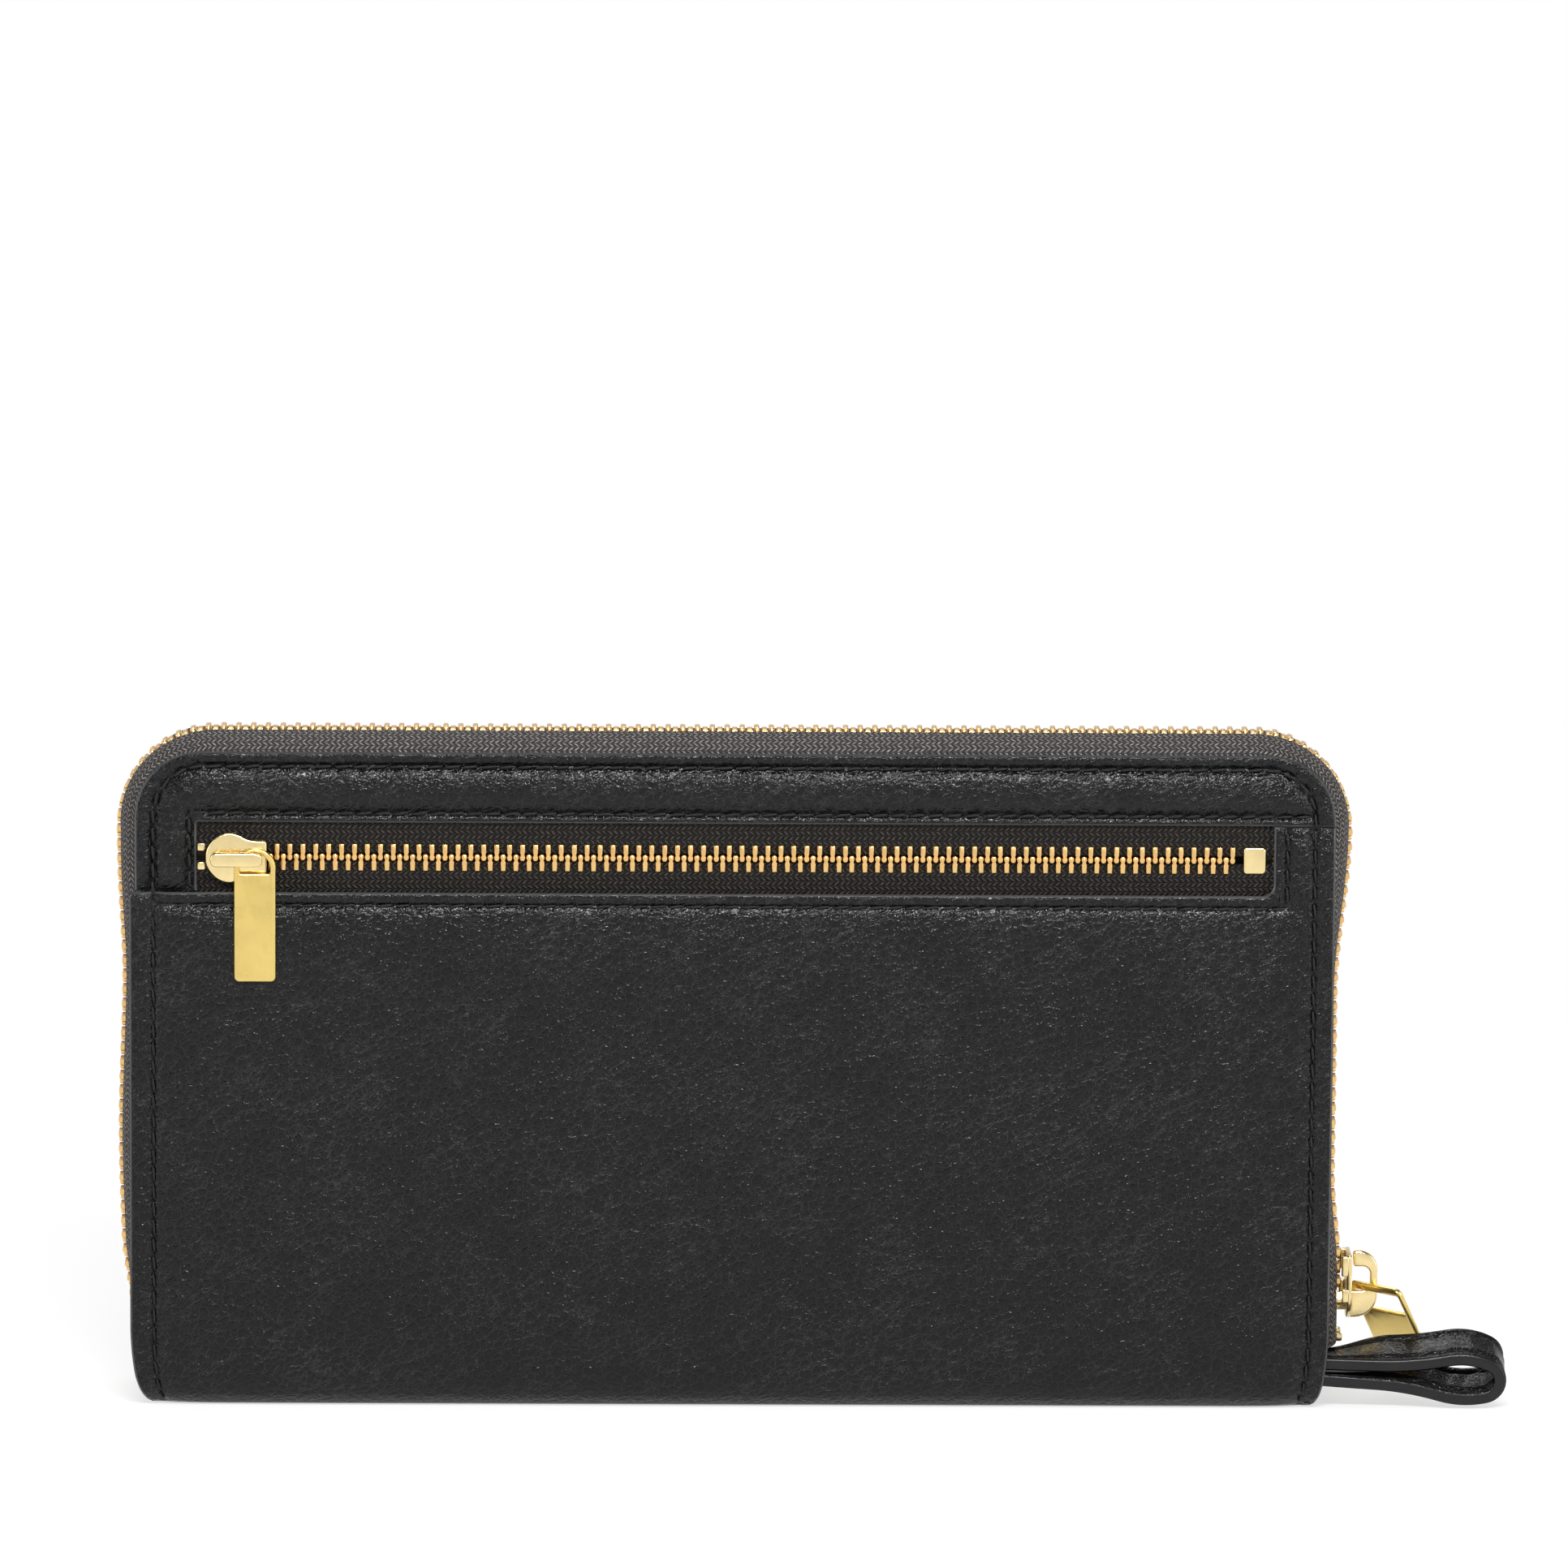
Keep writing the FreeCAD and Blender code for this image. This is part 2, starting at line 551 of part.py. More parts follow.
def coin_zip_pieces():
    reach, half, thick = coin_width / 2, coin_zip["half"], coin_zip["thick"]
    y = coin_depth / 2 - coin_wall - ply_gap - coin_tape / 2
    middle = coin_mouth + coin_gap / 2
    spans = {1: (middle + half, coin_top), -1: (coin_mouth - coin_tape_seam, middle - half)}
    start = coin_slider_at + coin_slider_length * 0.1
    for name, side in (("upper", 1), ("lower", -1)):
        save(f"coin_zip_tape_{name}", box(-reach, reach, y - coin_tape / 2, y + coin_tape / 2, *spans[side]))
        z0, z1 = sorted((middle + side * ply_gap / 2, middle + side * half))
        coil = box(start, reach - coin_zip_end, y - thick / 2, y + thick / 2, z0, z1)
        save(f"coin_zip_coil_{name}", coil)
    body, plate = slider_body(coin_slider_length, coin_slider_wide, coin_slider_tail, coin_zip)
    at = Vector(coin_slider_at, y, middle)
    hung_slider("coin", body, plate, at, Y, coin_slider_length, (coin_pull_width, coin_pull_length, coin_eye_height))


def gussets():
    """Folded V strips that join the divider's ends to the card panels of both covers."""
    wall, cards = coin_depth / 2 + gusset_play, CARDS[-1][1] - gusset_play
    seam, ply = coin_width / 2, gusset_ply
    middle = (wall + cards) / 2
    for name, side in (("back", BACK), ("front", FRONT)):
        for end, way in (("left", -1), ("right", 1)):
            strip = profile(
                (seam, cards, 0), (seam, cards - ply, 0), (seam - gusset_fold + 2 * ply, middle, 0),
                (seam, wall + ply, 0), (seam, wall, 0), (seam - gusset_fold, middle - ply, 0),
                (seam - gusset_fold, middle + ply, 0),
                lay=lambda x, y, side=side, way=way: Vector(way * x, side * y, inner_foot),
            )
            save(f"gusset_{name}_{end}", strip.extrude(Z * (gusset_top - inner_foot)))


os.makedirs("parts", exist_ok=True)
leather_pieces()
main_zip_pieces()
pocket_zip_pieces()
pocket_slider_pieces()
main_slider_pieces()
save("wrist_loop", strap_loop())
cover_insides()
coin_wall_pieces()
coin_zip_pieces()
gussets()
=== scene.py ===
# %% [markdown]
# # A zip around wallet, dressed piece by piece
#
# The wallet stands on its spine: two leather covers, a zip that runs up one side, over the top and down the
# other, and a zipped pocket outside. A CAD model already fixes every size and every moving part. This lesson
# loads it, and then makes what the eye sees: grained leather with sewn edges, woven tapes, metal teeth, sliders,
# a strap loop and the compartments inside.

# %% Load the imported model
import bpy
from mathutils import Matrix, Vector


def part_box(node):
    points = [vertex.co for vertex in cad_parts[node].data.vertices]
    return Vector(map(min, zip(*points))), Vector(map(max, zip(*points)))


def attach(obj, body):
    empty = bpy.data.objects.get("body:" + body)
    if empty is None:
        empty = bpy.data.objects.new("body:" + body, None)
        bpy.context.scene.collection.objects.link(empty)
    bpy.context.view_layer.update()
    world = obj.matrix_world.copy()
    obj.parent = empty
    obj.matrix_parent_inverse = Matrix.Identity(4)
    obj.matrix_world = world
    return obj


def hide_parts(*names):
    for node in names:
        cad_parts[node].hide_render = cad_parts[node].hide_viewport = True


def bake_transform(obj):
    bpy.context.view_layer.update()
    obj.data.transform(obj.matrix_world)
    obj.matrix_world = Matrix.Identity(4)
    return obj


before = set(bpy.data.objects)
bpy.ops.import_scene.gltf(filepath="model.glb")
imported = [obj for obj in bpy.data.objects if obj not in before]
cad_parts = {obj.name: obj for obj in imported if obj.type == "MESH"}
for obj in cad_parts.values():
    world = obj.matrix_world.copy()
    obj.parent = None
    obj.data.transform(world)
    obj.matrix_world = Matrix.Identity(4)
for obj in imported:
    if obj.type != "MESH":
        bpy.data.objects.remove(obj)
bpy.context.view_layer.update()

# %% [markdown]
# ## Modules and units
#
# Everything below is worked out in millimetres, because leather work is. One function at the end of each piece
# turns it into metres. A seeded random generator keeps every run the same.

# %% Modules and units
import math
import random

import bmesh
import bpy
from mathutils import Matrix, Vector

MM = 0.001
chance = random.Random(11)


def span(node):
    """Lowest and highest corner of a CAD node at rest, in millimetres."""
    low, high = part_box(node)
    return Vector(low) / MM, Vector(high) / MM


# %% [markdown]
# ## Sizes
#
# Places are read from the CAD nodes' boxes instead of being typed again, so a change of size there reaches this
# file too. Only sizes that exist nowhere else, such as a stitch's length, are written here.

# %% Sizes that the CAD model gives
panel_high = span("front_panel_leather")[1]
yoke_low, yoke_high = span("yoke_leather")
main_low, main_high = span("main_panel_leather")
fold_low, fold_high = span("front_fold_leather")
teeth_high = span("main_zip_teeth_back")[1]

HALF = panel_high.x                  # half the covers' width
TOP = panel_high.z                   # height of the covers
FACE = panel_high.y                  # leather's outer face, from the middle
HIDE = yoke_high.y - yoke_low.y      # leather's thickness
FOLD = fold_high.z                   # outer radius of the spine's long edges
FOLD_Y = fold_low.y                  # where the flat underside ends
WINDOW_LOW, WINDOW_TOP = yoke_low.z, main_high.z
WINDOW_HALF = HALF - 9.8             # half the zip window's width
STEP = -main_low.x - HALF            # how far the main panel stands out at the left
ZIP_HALF, ZIP_TOP = teeth_high.x, teeth_high.z
ZIP_CORNER = 16.0                    # radius of the zip's outermost line at the top corners
CORNER = 10.5                        # radius of the covers' top corners
COVERS = (("back", -1), ("front", 1))
print(f"covers {2 * HALF:.1f} by {TOP:.1f}, {2 * FACE:.1f} deep, leather {HIDE:.2f}")

# %% [markdown]
# ## Shader maths in plain Python
#
# A node graph is easier to read as an expression. `Signal` wraps one output socket and overloads the operators,
# so `1 - mask * 0.5` adds its Math nodes by itself. `Finish` holds one material, and its `add` makes every other
# node from its type, its settings and the values or links of its sockets.


# %% A signal
class Signal:
    """An output socket that can be used like a number."""

    def __init__(self, finish, socket):
        self.finish, self.socket = finish, socket

    def math(self, operation, *others, clamp=False):
        settings = {"operation": operation, "use_clamp": clamp}
        return self.finish.add("ShaderNodeMath", settings, dict(enumerate((self, *others))))

    def __add__(self, other):
        return self.math("ADD", other)

    def __mul__(self, other):
        return self.math("MULTIPLY", other)

    def __sub__(self, other):
        return self.math("SUBTRACT", other)

    def __rsub__(self, other):
        return self.finish.add("ShaderNodeMath", {"operation": "SUBTRACT"}, {0: other, 1: self})

    __radd__, __rmul__ = __add__, __mul__

    def between(self, low, high):
        """0 below low, 1 above high, and a soft step between them."""
        settings = {"interpolation_type": "SMOOTHSTEP"}
        return self.finish.add("ShaderNodeMapRange", settings, {0: self, 1: low, 2: high})


# %% A finish
class Finish:
    """One material, built node by node."""

    def __init__(self, name):
        self.material = bpy.data.materials.new(name)
        self.material.use_nodes = True
        self.tree = self.material.node_tree
        self.tree.nodes.clear()

    def add(self, kind, settings=None, sockets=None, give=0):
        """A node with its settings and its inputs' values or links; give picks the output to hand back."""
        node = self.tree.nodes.new(kind)
        for key, value in (settings or {}).items():
            setattr(node, key, value)
        for key, value in (sockets or {}).items():
            if isinstance(value, Signal):
                self.tree.links.new(value.socket, node.inputs[key])
            else:
                node.inputs[key].default_value = value
        return Signal(self, node.outputs[give]) if node.outputs else node

    def place(self, source="Object"):
        """Coordinates: the object's own turned to millimetres, or others as they are."""
        spot = self.add("ShaderNodeTexCoord", give=source)
        return self.shift("SCALE", spot, scale=1000.0) if source == "Object" else spot

    def shift(self, operation, first, second=None, scale=None):
        given = {0: first, 1: second, "Scale": scale}
        sockets = {key: value for key, value in given.items() if value is not None}
        return self.add("ShaderNodeVectorMath", {"operation": operation}, sockets)

    def noise(self, spot, size, detail=2.0, give="Fac"):
        sockets = {"Vector": spot, "Scale": 1 / size, "Detail": detail}
        return self.add("ShaderNodeTexNoise", {}, sockets, give=give)

    def cells(self, spot, size):
        """Distance to the edge of the cell that a spot is in."""
        settings = {"feature": "DISTANCE_TO_EDGE"}
        return self.add("ShaderNodeTexVoronoi", settings, {"Vector": spot, "Scale": 1 / size}, give="Distance")

    def warped(self, spot, size, amount):
        """The coordinates pushed about by soft noise, so that no pattern runs straight."""
        drift = self.shift("SUBTRACT", self.noise(spot, size, give="Color"), (0.5, 0.5, 0.5))
        return self.shift("ADD", spot, self.shift("SCALE", drift, scale=amount))

    def ray(self, kind):
        return self.add("ShaderNodeLightPath", give=f"Is {kind} Ray")

    def stretched(self, spot, turn, scale):
        """The coordinates turned about Y, then scaled: below 1 draws the pattern out along that axis."""
        turned = self.add("ShaderNodeVectorRotate", {"rotation_type": "Y_AXIS"}, {"Vector": spot, "Angle": turn})
        return self.shift("MULTIPLY", turned, scale)

    def tint(self, factor, dark, light):
        """A colour between two, written as red, green and blue from 0 to 1."""
        sockets = {0: factor, 6: (*dark, 1) if isinstance(dark, tuple) else dark,
                   7: (*light, 1) if isinstance(light, tuple) else light}
        return self.add("ShaderNodeMix", {"data_type": "RGBA"}, sockets, give=2)

    def done(self, colour, roughness, height, depth, level=0.5, metallic=0.0):
        """Join everything in one surface shader; depth is the bump's height in millimetres."""
        bump = self.add("ShaderNodeBump", {}, {"Height": height, "Distance": depth * MM, "Strength": 1.0})
        sockets = {"Base Color": colour, "Roughness": roughness, "Metallic": metallic, "Normal": bump,
                   "Specular IOR Level": level}
        surface = self.add("ShaderNodeBsdfPrincipled", {}, sockets)
        self.add("ShaderNodeOutputMaterial", {}, {"Surface": surface})
        return self.material


# %% [markdown]
# ## Leather
#
# The covers are milled calf leather: small pebbles with fine creases between them, and longer creases that rise
# to the right where the hide was stretched. Cell noise gives the pebbles, a second, finer layer breaks them up,
# and stretched noise gives the long creases. The gaps and creases are painted lighter, a painted highlight where
# their edges would catch the light. The tops of the pebbles are polished, the valleys are dull.


# %% Leather finishes
PEBBLE_SLANT, CREASE_SLANT = 30, 33  # degrees


def leather_finish(name, tone, painted_highlight, pebble, relief, crease, gloss, level):
    """pebble and relief are the grain's size and depth in millimetres, crease the share of the long creases; the
    second colour is a lighter one painted into the gaps and creases, a painted highlight.
    """
    finish = Finish(name)
    spot = finish.place()
    slant = finish.stretched(spot, math.radians(PEBBLE_SLANT), (0.75, 1.0, 1.0))
    coarse = finish.cells(finish.warped(slant, 1.6, 1.1), pebble)
    pebbles = coarse.between(0.0, 0.3)
    patches = finish.noise(spot, 14.0, 3.0).between(0.35, 0.7)
    gaps = 1 - coarse.between(0.0, 0.055)
    small = finish.cells(finish.warped(spot, 0.9, 0.6), pebble * 0.42)
    fine = (1 - small.between(0.0, 0.1)) * (patches * 0.6 + 0.4)
    drawn = finish.stretched(finish.warped(spot, 9.0, 3.0), math.radians(CREASE_SLANT), (0.22, 1.0, 1.0))
    folds = finish.noise(drawn, 1.2, 3.0)
    lines = folds.between(0.5, 0.535) * (1 - folds.between(0.535, 0.58))
    hair = finish.noise(spot, 0.2, 2.0)
    height = (pebbles * 0.4 + small.between(0.0, 0.3) * 0.2 + hair * 0.05 + finish.noise(spot, 5.0, 2.0) * 0.4
              - lines * (patches * 0.8 + 0.2) * crease)
    # The pebble gaps, the small cells' edges and the creases get the lighter colour: a painted highlight for light
    # catching their edges, made uneven by the patches and fine noise.
    painted_highlight_mask = gaps * (0.35 + patches * 0.15) + lines * (patches * 0.3 + 0.1) + fine * 0.2 + hair * 0.1
    shade = finish.tint(painted_highlight_mask, tone, painted_highlight)
    polish = gloss + hair * 0.1 + patches * 0.03
    return finish.done(shade, polish, height, relief, level=level)


cover_leather = leather_finish("cover_leather", (0.0006, 0.0006, 0.0007), (0.022, 0.022, 0.022),
                               pebble=1.25, relief=0.17, crease=0.35, gloss=0.12, level=0.26)
strap_leather = leather_finish("strap_leather", (0.0030, 0.0030, 0.0030), (0.014, 0.014, 0.014),
                               pebble=1.1, relief=0.1, crease=0.5, gloss=0.18, level=0.27)
inner_leather = leather_finish("soft_inner_leather", (0.014, 0.0125, 0.0115), (0.060, 0.055, 0.050),
                               pebble=0.7, relief=0.09, crease=0.2, gloss=0.4, level=0.35)


def painted_edge(name, dark, light, level):
    """Cut edges of the leather, sealed with thick dark paint and polished."""
    finish = Finish(name)
    spot = finish.place()
    ripple = finish.noise(spot, 2.2, 2.0) * 0.6 + finish.noise(spot, 0.4, 2.0) * 0.15
    shade = finish.tint(finish.noise(spot, 4.0), dark, light)
    return finish.done(shade, 0.24 + ripple * 0.15, ripple, 0.06, level=level)


edge_paint = painted_edge("painted_edge", (0.024, 0.025, 0.026), (0.042, 0.043, 0.044), level=0.5)
strap_paint = painted_edge("strap_edge", (0.006, 0.006, 0.007), (0.014, 0.014, 0.015), level=0.25)
print("leathers:", cover_leather.name, strap_leather.name, inner_leather.name)

# %% [markdown]
# ## Thread, woven tape and lining
#
# The tape is a herringbone weave: threads slant one way, then the other, in narrow rows along the tape. Its
# pattern has to follow the tape round the corners, so it reads the UV map, which every ribbon below carries in
# millimetres. A triangle wave across the tape bends straight stripes into the zigzag.


# %% Cloth finishes
def woven_finish(name, dark, light, rows=1.7, yarn=0.9, relief=0.35, slope=0.95, source="UV"):
    """rows is the width of a pair of zigzag rows, yarn that of one thread and relief its depth, in millimetres."""
    finish = Finish(name)
    spot = finish.warped(finish.place(source), 1.6, 0.3)
    parts = finish.add("ShaderNodeSeparateXYZ", {}, {0: spot})
    across = Signal(finish, parts.socket.node.outputs[1 if source == "UV" else 2])
    zigzag = across.math("PINGPONG", rows / 2)
    slanted = (parts + zigzag * slope) * (2 * math.pi / yarn)
    rib = slanted.math("SINE") * 0.5 + 0.5
    turns = zigzag.between(0.0, rows * 0.12) * (1 - zigzag.between(rows * 0.38, rows * 0.5))
    fibres = finish.noise(spot, 0.22, 3.0)
    uneven = finish.noise(spot, 0.9, 2.0).between(0.3, 0.7)
    height = rib.math("POWER", 0.6) * (turns * 0.6 + 0.4) + fibres * 0.3 + uneven * 0.25
    glint = rib.between(0.45, 1.0) * turns * (uneven * 0.8 + 0.2)
    shade = finish.tint(glint * (fibres * 1.2) + fibres * 0.08, dark, light)
    return finish.done(shade, 0.5 + fibres * 0.25, height, relief, level=0.25)


def thread_finish():
    finish = Finish("bonded_thread")
    spot = finish.place()
    twist = finish.noise(finish.stretched(spot, math.radians(35), (1, 1, 5)), 0.5, 2.0)
    shade = finish.tint(twist.between(0.4, 0.7), (0.002, 0.002, 0.002), (0.010, 0.010, 0.010))
    return finish.done(shade, 0.42 + twist * 0.2, twist, 0.08, level=0.3)


tape_weave = woven_finish("tape_weave", (0.004, 0.003, 0.003), (0.46, 0.42, 0.40))
# Its colours are set well below the main tape's, though it is the same black tape: painted shade for the outer
# pocket's tapes, which lie recessed under the leather at the window. The coin pocket's tapes share this finish.
pocket_weave = woven_finish("pocket_weave", (0.002, 0.0015, 0.0012), (0.080, 0.064, 0.052),
                            rows=1.5, relief=0.4, slope=0.9)
lining_weave = woven_finish("lining_weave", (0.030, 0.025, 0.021), (0.105, 0.088, 0.073),
                            rows=1.0, yarn=0.4, relief=0.05, source="Object")
thread = thread_finish()


def coil_finish():
    finish = Finish("coil_nylon")
    spot = finish.place()
    cloud = finish.noise(spot, 0.8, 2.0)
    shade = finish.tint(cloud, (0.012, 0.011, 0.011), (0.028, 0.026, 0.025))
    return finish.done(shade, 0.3 + cloud * 0.15, cloud, 0.02, level=0.5)


coil_nylon = coil_finish()
print("cloths:", tape_weave.name, pocket_weave.name, lining_weave.name)

# %% [markdown]
# ## Gold plate
#
# Teeth, sliders and pulls are cast or stamped metal with a thin gold coat. Each has its own gold: warm on the
# teeth, pale on the cast sliders, deeper on the flat pulls. Fine scratches change the roughness and a very
# shallow bump, and rounded wear is in the mesh.


# %% Metal finishes
def gold_finish(name, colour, rough, scratch=(1, 1, 1), relief=0.012):
    """scratch draws the fine scratches out along the axis whose number is below 1."""
    finish = Finish(name)
    spot = finish.place()
    cloud = finish.noise(spot, 3.0, 2.0)
    lines = finish.noise(finish.stretched(spot, 0.0, scratch), 0.25, 3.0)
    shade = finish.tint(cloud.between(0.35, 0.65), tuple(part * 0.94 for part in colour), colour)
    return finish.done(shade, rough + cloud * 0.08 + lines * 0.1, lines + cloud, relief, metallic=1.0)


tooth_gold = gold_finish("tooth_gold", (0.80, 0.52, 0.21), rough=0.22)
slider_gold = gold_finish("slider_gold", (0.87, 0.70, 0.36), rough=0.16)
pull_gold = gold_finish("pull_gold", (0.80, 0.60, 0.20), rough=0.2, scratch=(1, 1, 0.15))
print("metals:", tooth_gold.name, slider_gold.name, pull_gold.name)

# %% [markdown]
# ## From a bmesh to a finished piece
#
# `piece` is the last step of everything made here. It turns an inside-out shell round, scales millimetres to
# metres, shades smoothly except at sharp corners and hangs the materials on. Then it hides the CAD nodes that
# the piece stands for and hangs it on an empty named after the body that it rides on; given more than one body,
# it only keeps the piece where it is.


# %% Piece maker
def piece(name, bm, body, finishes, stands_for=(), sharp=40):
    if bm.calc_volume(signed=True) < 0:
        bmesh.ops.reverse_faces(bm, faces=bm.faces)
    open_edges = sum(not edge.is_manifold for edge in bm.edges)
    bmesh.ops.scale(bm, vec=(MM, MM, MM), verts=bm.verts)
    mesh = bpy.data.meshes.new(name)
    bm.to_mesh(mesh)
    bm.free()
    made = bpy.data.objects.new(name, mesh)
    bpy.context.collection.objects.link(made)
    for finish in finishes:
        mesh.materials.append(finish)
    mesh.shade_smooth()
    mesh.set_sharp_from_angle(angle=math.radians(sharp))
    if stands_for:
        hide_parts(*stands_for)
    if isinstance(body, str):
        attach(made, body)
    else:
        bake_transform(made)
    print(f"{name}: {len(mesh.polygons)} faces, {open_edges} open edges")
    return made


def verts_of(result):
    return [part for part in result["geom"] if isinstance(part, bmesh.types.BMVert)]


# %% [markdown]
# ## Flat patterns with rounded corners
#
# A leather part starts as a paper pattern does: a flat outline. Each corner carries its own radius, and a vertex
# bevel rounds it. Three narrow insets follow the outline, for the rolled edge. Straight cuts make a grid of the
# rest, and the faces near a seam are divided twice more, because the leather bends most there.


# %% Pattern tools
RIM_STEPS = (0.12, 0.18, 0.3)        # widths of the insets along a cut edge
RIM = 0.32                           # what lies closer to the outline than this is painted


def bevelled(bm, geom, offset, segments, affect="EDGES"):
    bmesh.ops.bevel(bm, geom=geom, offset=offset, offset_type="OFFSET", segments=segments, profile=0.5,
                    affect=affect, material=-1)


def rounded_face(bm, corners, segments=7):
    """A face through (u, v, radius) corners in the XY plane."""
    verts = [bm.verts.new((u, v, 0)) for u, v, _ in corners]
    bm.faces.new(verts)
    for radius in sorted({radius for _, _, radius in corners if radius}):
        chosen = [vert for vert, corner in zip(verts, corners) if corner[2] == radius]
        bevelled(bm, chosen, radius, segments, "VERTICES")
    bm.faces.ensure_lookup_table()
    return bm.faces[0]


def rectangle(left, low, right, high, low_radius, high_radius):
    """The corners of an upright rectangle, with one radius below and one above."""
    return [(left, low, low_radius), (right, low, low_radius), (right, high, high_radius), (left, high, high_radius)]


def pattern(corners, seams, spacing):
    """A flat, gridded face, finer near the seams, and its outline as a closed line of points."""
    bm = bmesh.new()
    middle = rounded_face(bm, corners)
    outline = [vert.co.xy for vert in middle.verts]
    for step in RIM_STEPS:
        bmesh.ops.inset_region(bm, faces=[middle], thickness=step, use_boundary=True, use_even_offset=True)
    for axis in (0, 1):
        low, high = min(spot[axis] for spot in outline), max(spot[axis] for spot in outline)
        normal = Vector((1 - axis, axis, 0))
        count = max(round((high - low) / spacing), 1)
        for n in range(1, count):
            everything = bm.verts[:] + bm.edges[:] + bm.faces[:]
            cut = normal * (low + (high - low) * n / count)
            bmesh.ops.bisect_plane(bm, geom=everything, dist=0.01, plane_co=cut, plane_no=normal)
    for reach in (2.0, 1.0):
        close = [edge for edge in bm.edges
                 if edge.calc_length() > reach / 2.6
                 and beside((edge.verts[0].co + edge.verts[1].co).xy / 2, seams)[0] < reach]
        bmesh.ops.subdivide_edges(bm, edges=close, cuts=1, use_grid_fill=True)
    return bm, outline + outline[:1]


# %% Lines and distances
def straight(*points):
    return [Vector(point) for point in points]


def length_of(line):
    return sum((end - start).length for start, end in zip(line, line[1:]))


def near(spot, line):
    """Distance from a flat point to a line through points, and how far along the line the nearest place is."""
    best, place, walked = 1e9, 0.0, 0.0
    for start, end in zip(line, line[1:]):
        along = end - start
        share = max(0.0, min(1.0, (spot - start).dot(along) / along.length_squared))
        gap = (spot - start - along * share).length
        if gap < best:
            best, place = gap, walked + share * along.length
        walked += along.length
    return best, place


def beside(spot, lines):
    """The same for the nearest of several lines."""
    return min((near(spot, line) for line in lines), default=(9.0, 0.0))


def soft(value):
    """0 to 1 with flat ends, for a value from 0 to 1."""
    value = max(0.0, min(1.0, value))
    return value * value * (3 - 2 * value)


# %% [markdown]
# ## Seams
#
# A seam is a line of stitches 2.9 mm apart. It pulls the leather down into a shallow trough, and the leather
# swells between two seams. Every stitch is a small stretched ball of thread, with its ends sunk into needle
# holes. One stitch is made once and copied along the line, so hundreds of them cost little.

# %% Seam tools
STITCH_PITCH, STITCH_LENGTH, THREAD_WIDTH = 2.9, 2.3, 0.46
STITCH_LEAN = 0.10                   # angle between a stitch and its seam
TROUGH = 0.32                        # how deep a seam pulls the leather in


def rounded_line(corners, segments=8):
    """A line through (u, v, reach) points; each inner corner is an arc that starts `reach` before it."""
    points = []
    for n, (u, v, reach) in enumerate(corners):
        here = Vector((u, v))
        if not reach:
            points.append(here)
            continue
        back = (Vector(corners[n - 1][:2]) - here).normalized()
        on = (Vector(corners[n + 1][:2]) - here).normalized()
        centre = here + (back + on).normalized() * reach / math.cos(back.angle(on) / 2)
        start, end = here + back * reach - centre, here + on * reach - centre
        turn = start.angle_signed(end)
        for step in range(segments + 1):
            points.append(centre + Matrix.Rotation(-turn * step / segments, 2) @ start)
    return points


def point_at(line, distance):
    """The point and the direction at a distance along a line."""
    for start, end in zip(line, line[1:]):
        step = end - start
        if distance <= step.length or end is line[-1]:
            return start + step.normalized() * distance, step.normalized()
        distance -= step.length


def stations(line, pitch):
    """(point, direction) at equal steps along a flat line."""
    total = length_of(line)
    count = max(round(total / pitch), 1)
    return [point_at(line, (index + 0.5) * total / count) for index in range(count)]


# %% Stitches
def one_stitch(bm):
    """A stitch along X with its top at about a third of its width."""
    made = bmesh.ops.create_uvsphere(bm, u_segments=8, v_segments=6, radius=0.5)["verts"]
    bmesh.ops.rotate(bm, verts=made, matrix=Matrix.Rotation(math.pi / 2, 3, "Y"))
    for vert in made:
        x, y, z = vert.co
        full = (1 - (2 * abs(x)) ** 4) ** 0.5 / max((1 - (2 * x) ** 2) ** 0.5, 0.01) if abs(x) < 0.499 else 0
        vert.co = (x * STITCH_LENGTH, y * THREAD_WIDTH * full, z * THREAD_WIDTH * 0.8 * full)
    return made


def stitching(name, lines, lay, body, sunk=-0.12, pitch=STITCH_PITCH, size=1.0):
    """Stitches along flat lines, laid on a skin by lay(u, v, height)."""
    bm = bmesh.new()
    first = one_stitch(bm)
    base = bm.verts[:] + bm.edges[:] + bm.faces[:]
    for line in lines:
        for spot, along in stations(line, pitch):
            copied = verts_of(bmesh.ops.duplicate(bm, geom=base))
            lean = STITCH_LEAN + chance.uniform(-0.03, 0.03)
            turn = Matrix.Rotation(math.atan2(along.y, along.x) + lean, 3, "Z")
            rise = sunk + chance.uniform(-0.02, 0.02)
            for vert in copied:
                local = turn @ (vert.co * size)
                vert.co = lay(spot.x + local.x, spot.y + local.y, local.z + rise)
    bmesh.ops.delete(bm, geom=first, context="VERTS")
    bmesh.ops.recalc_face_normals(bm, faces=bm.faces)
    return piece(name, bm, body, [thread])


# %% [markdown]
# ## Laying a pattern on a cover
#
# A flat pattern has u along the wallet and v up it. On a cover it stands upright. Below the fold's radius it
# rolls round a quarter turn, and then lies flat under the spine. The same function lays leather and stitches, so
# they always meet. The last few millimetres above the fold already lean in, as the leather does there.

# %% Lay on a cover
ARC = FOLD * math.pi / 2
FOOT_LEAN = 0.45                     # how far the leather leans in above the fold


def lay_on(side):
    """A function from (u, v, height) on a cover's pattern to a point; side is -1 at the back, 1 at the front."""

    def lay(u, v, height):
        if v >= FOLD:
            lean = FOOT_LEAN * soft((14.0 - v) / 9.0)
            return Vector((u, side * (FACE + height - lean), v))
        if v >= FOLD - ARC:
            turn = (FOLD - v) / FOLD
            radius = FOLD + height - FOOT_LEAN * (1 - soft(turn / 1.2))
            return Vector((u, side * (FOLD_Y + radius * math.cos(turn)), FOLD - radius * math.sin(turn)))
        return Vector((u, side * (FOLD_Y + v - FOLD + ARC), -height))

    return lay


lay_back, lay_front = lay_on(-1), lay_on(1)

# %% [markdown]
# ## The seams of the covers
#
# One seam runs round each cover, a little further from the edge at the right. A second one frames the window of
# the outer pocket's zip.

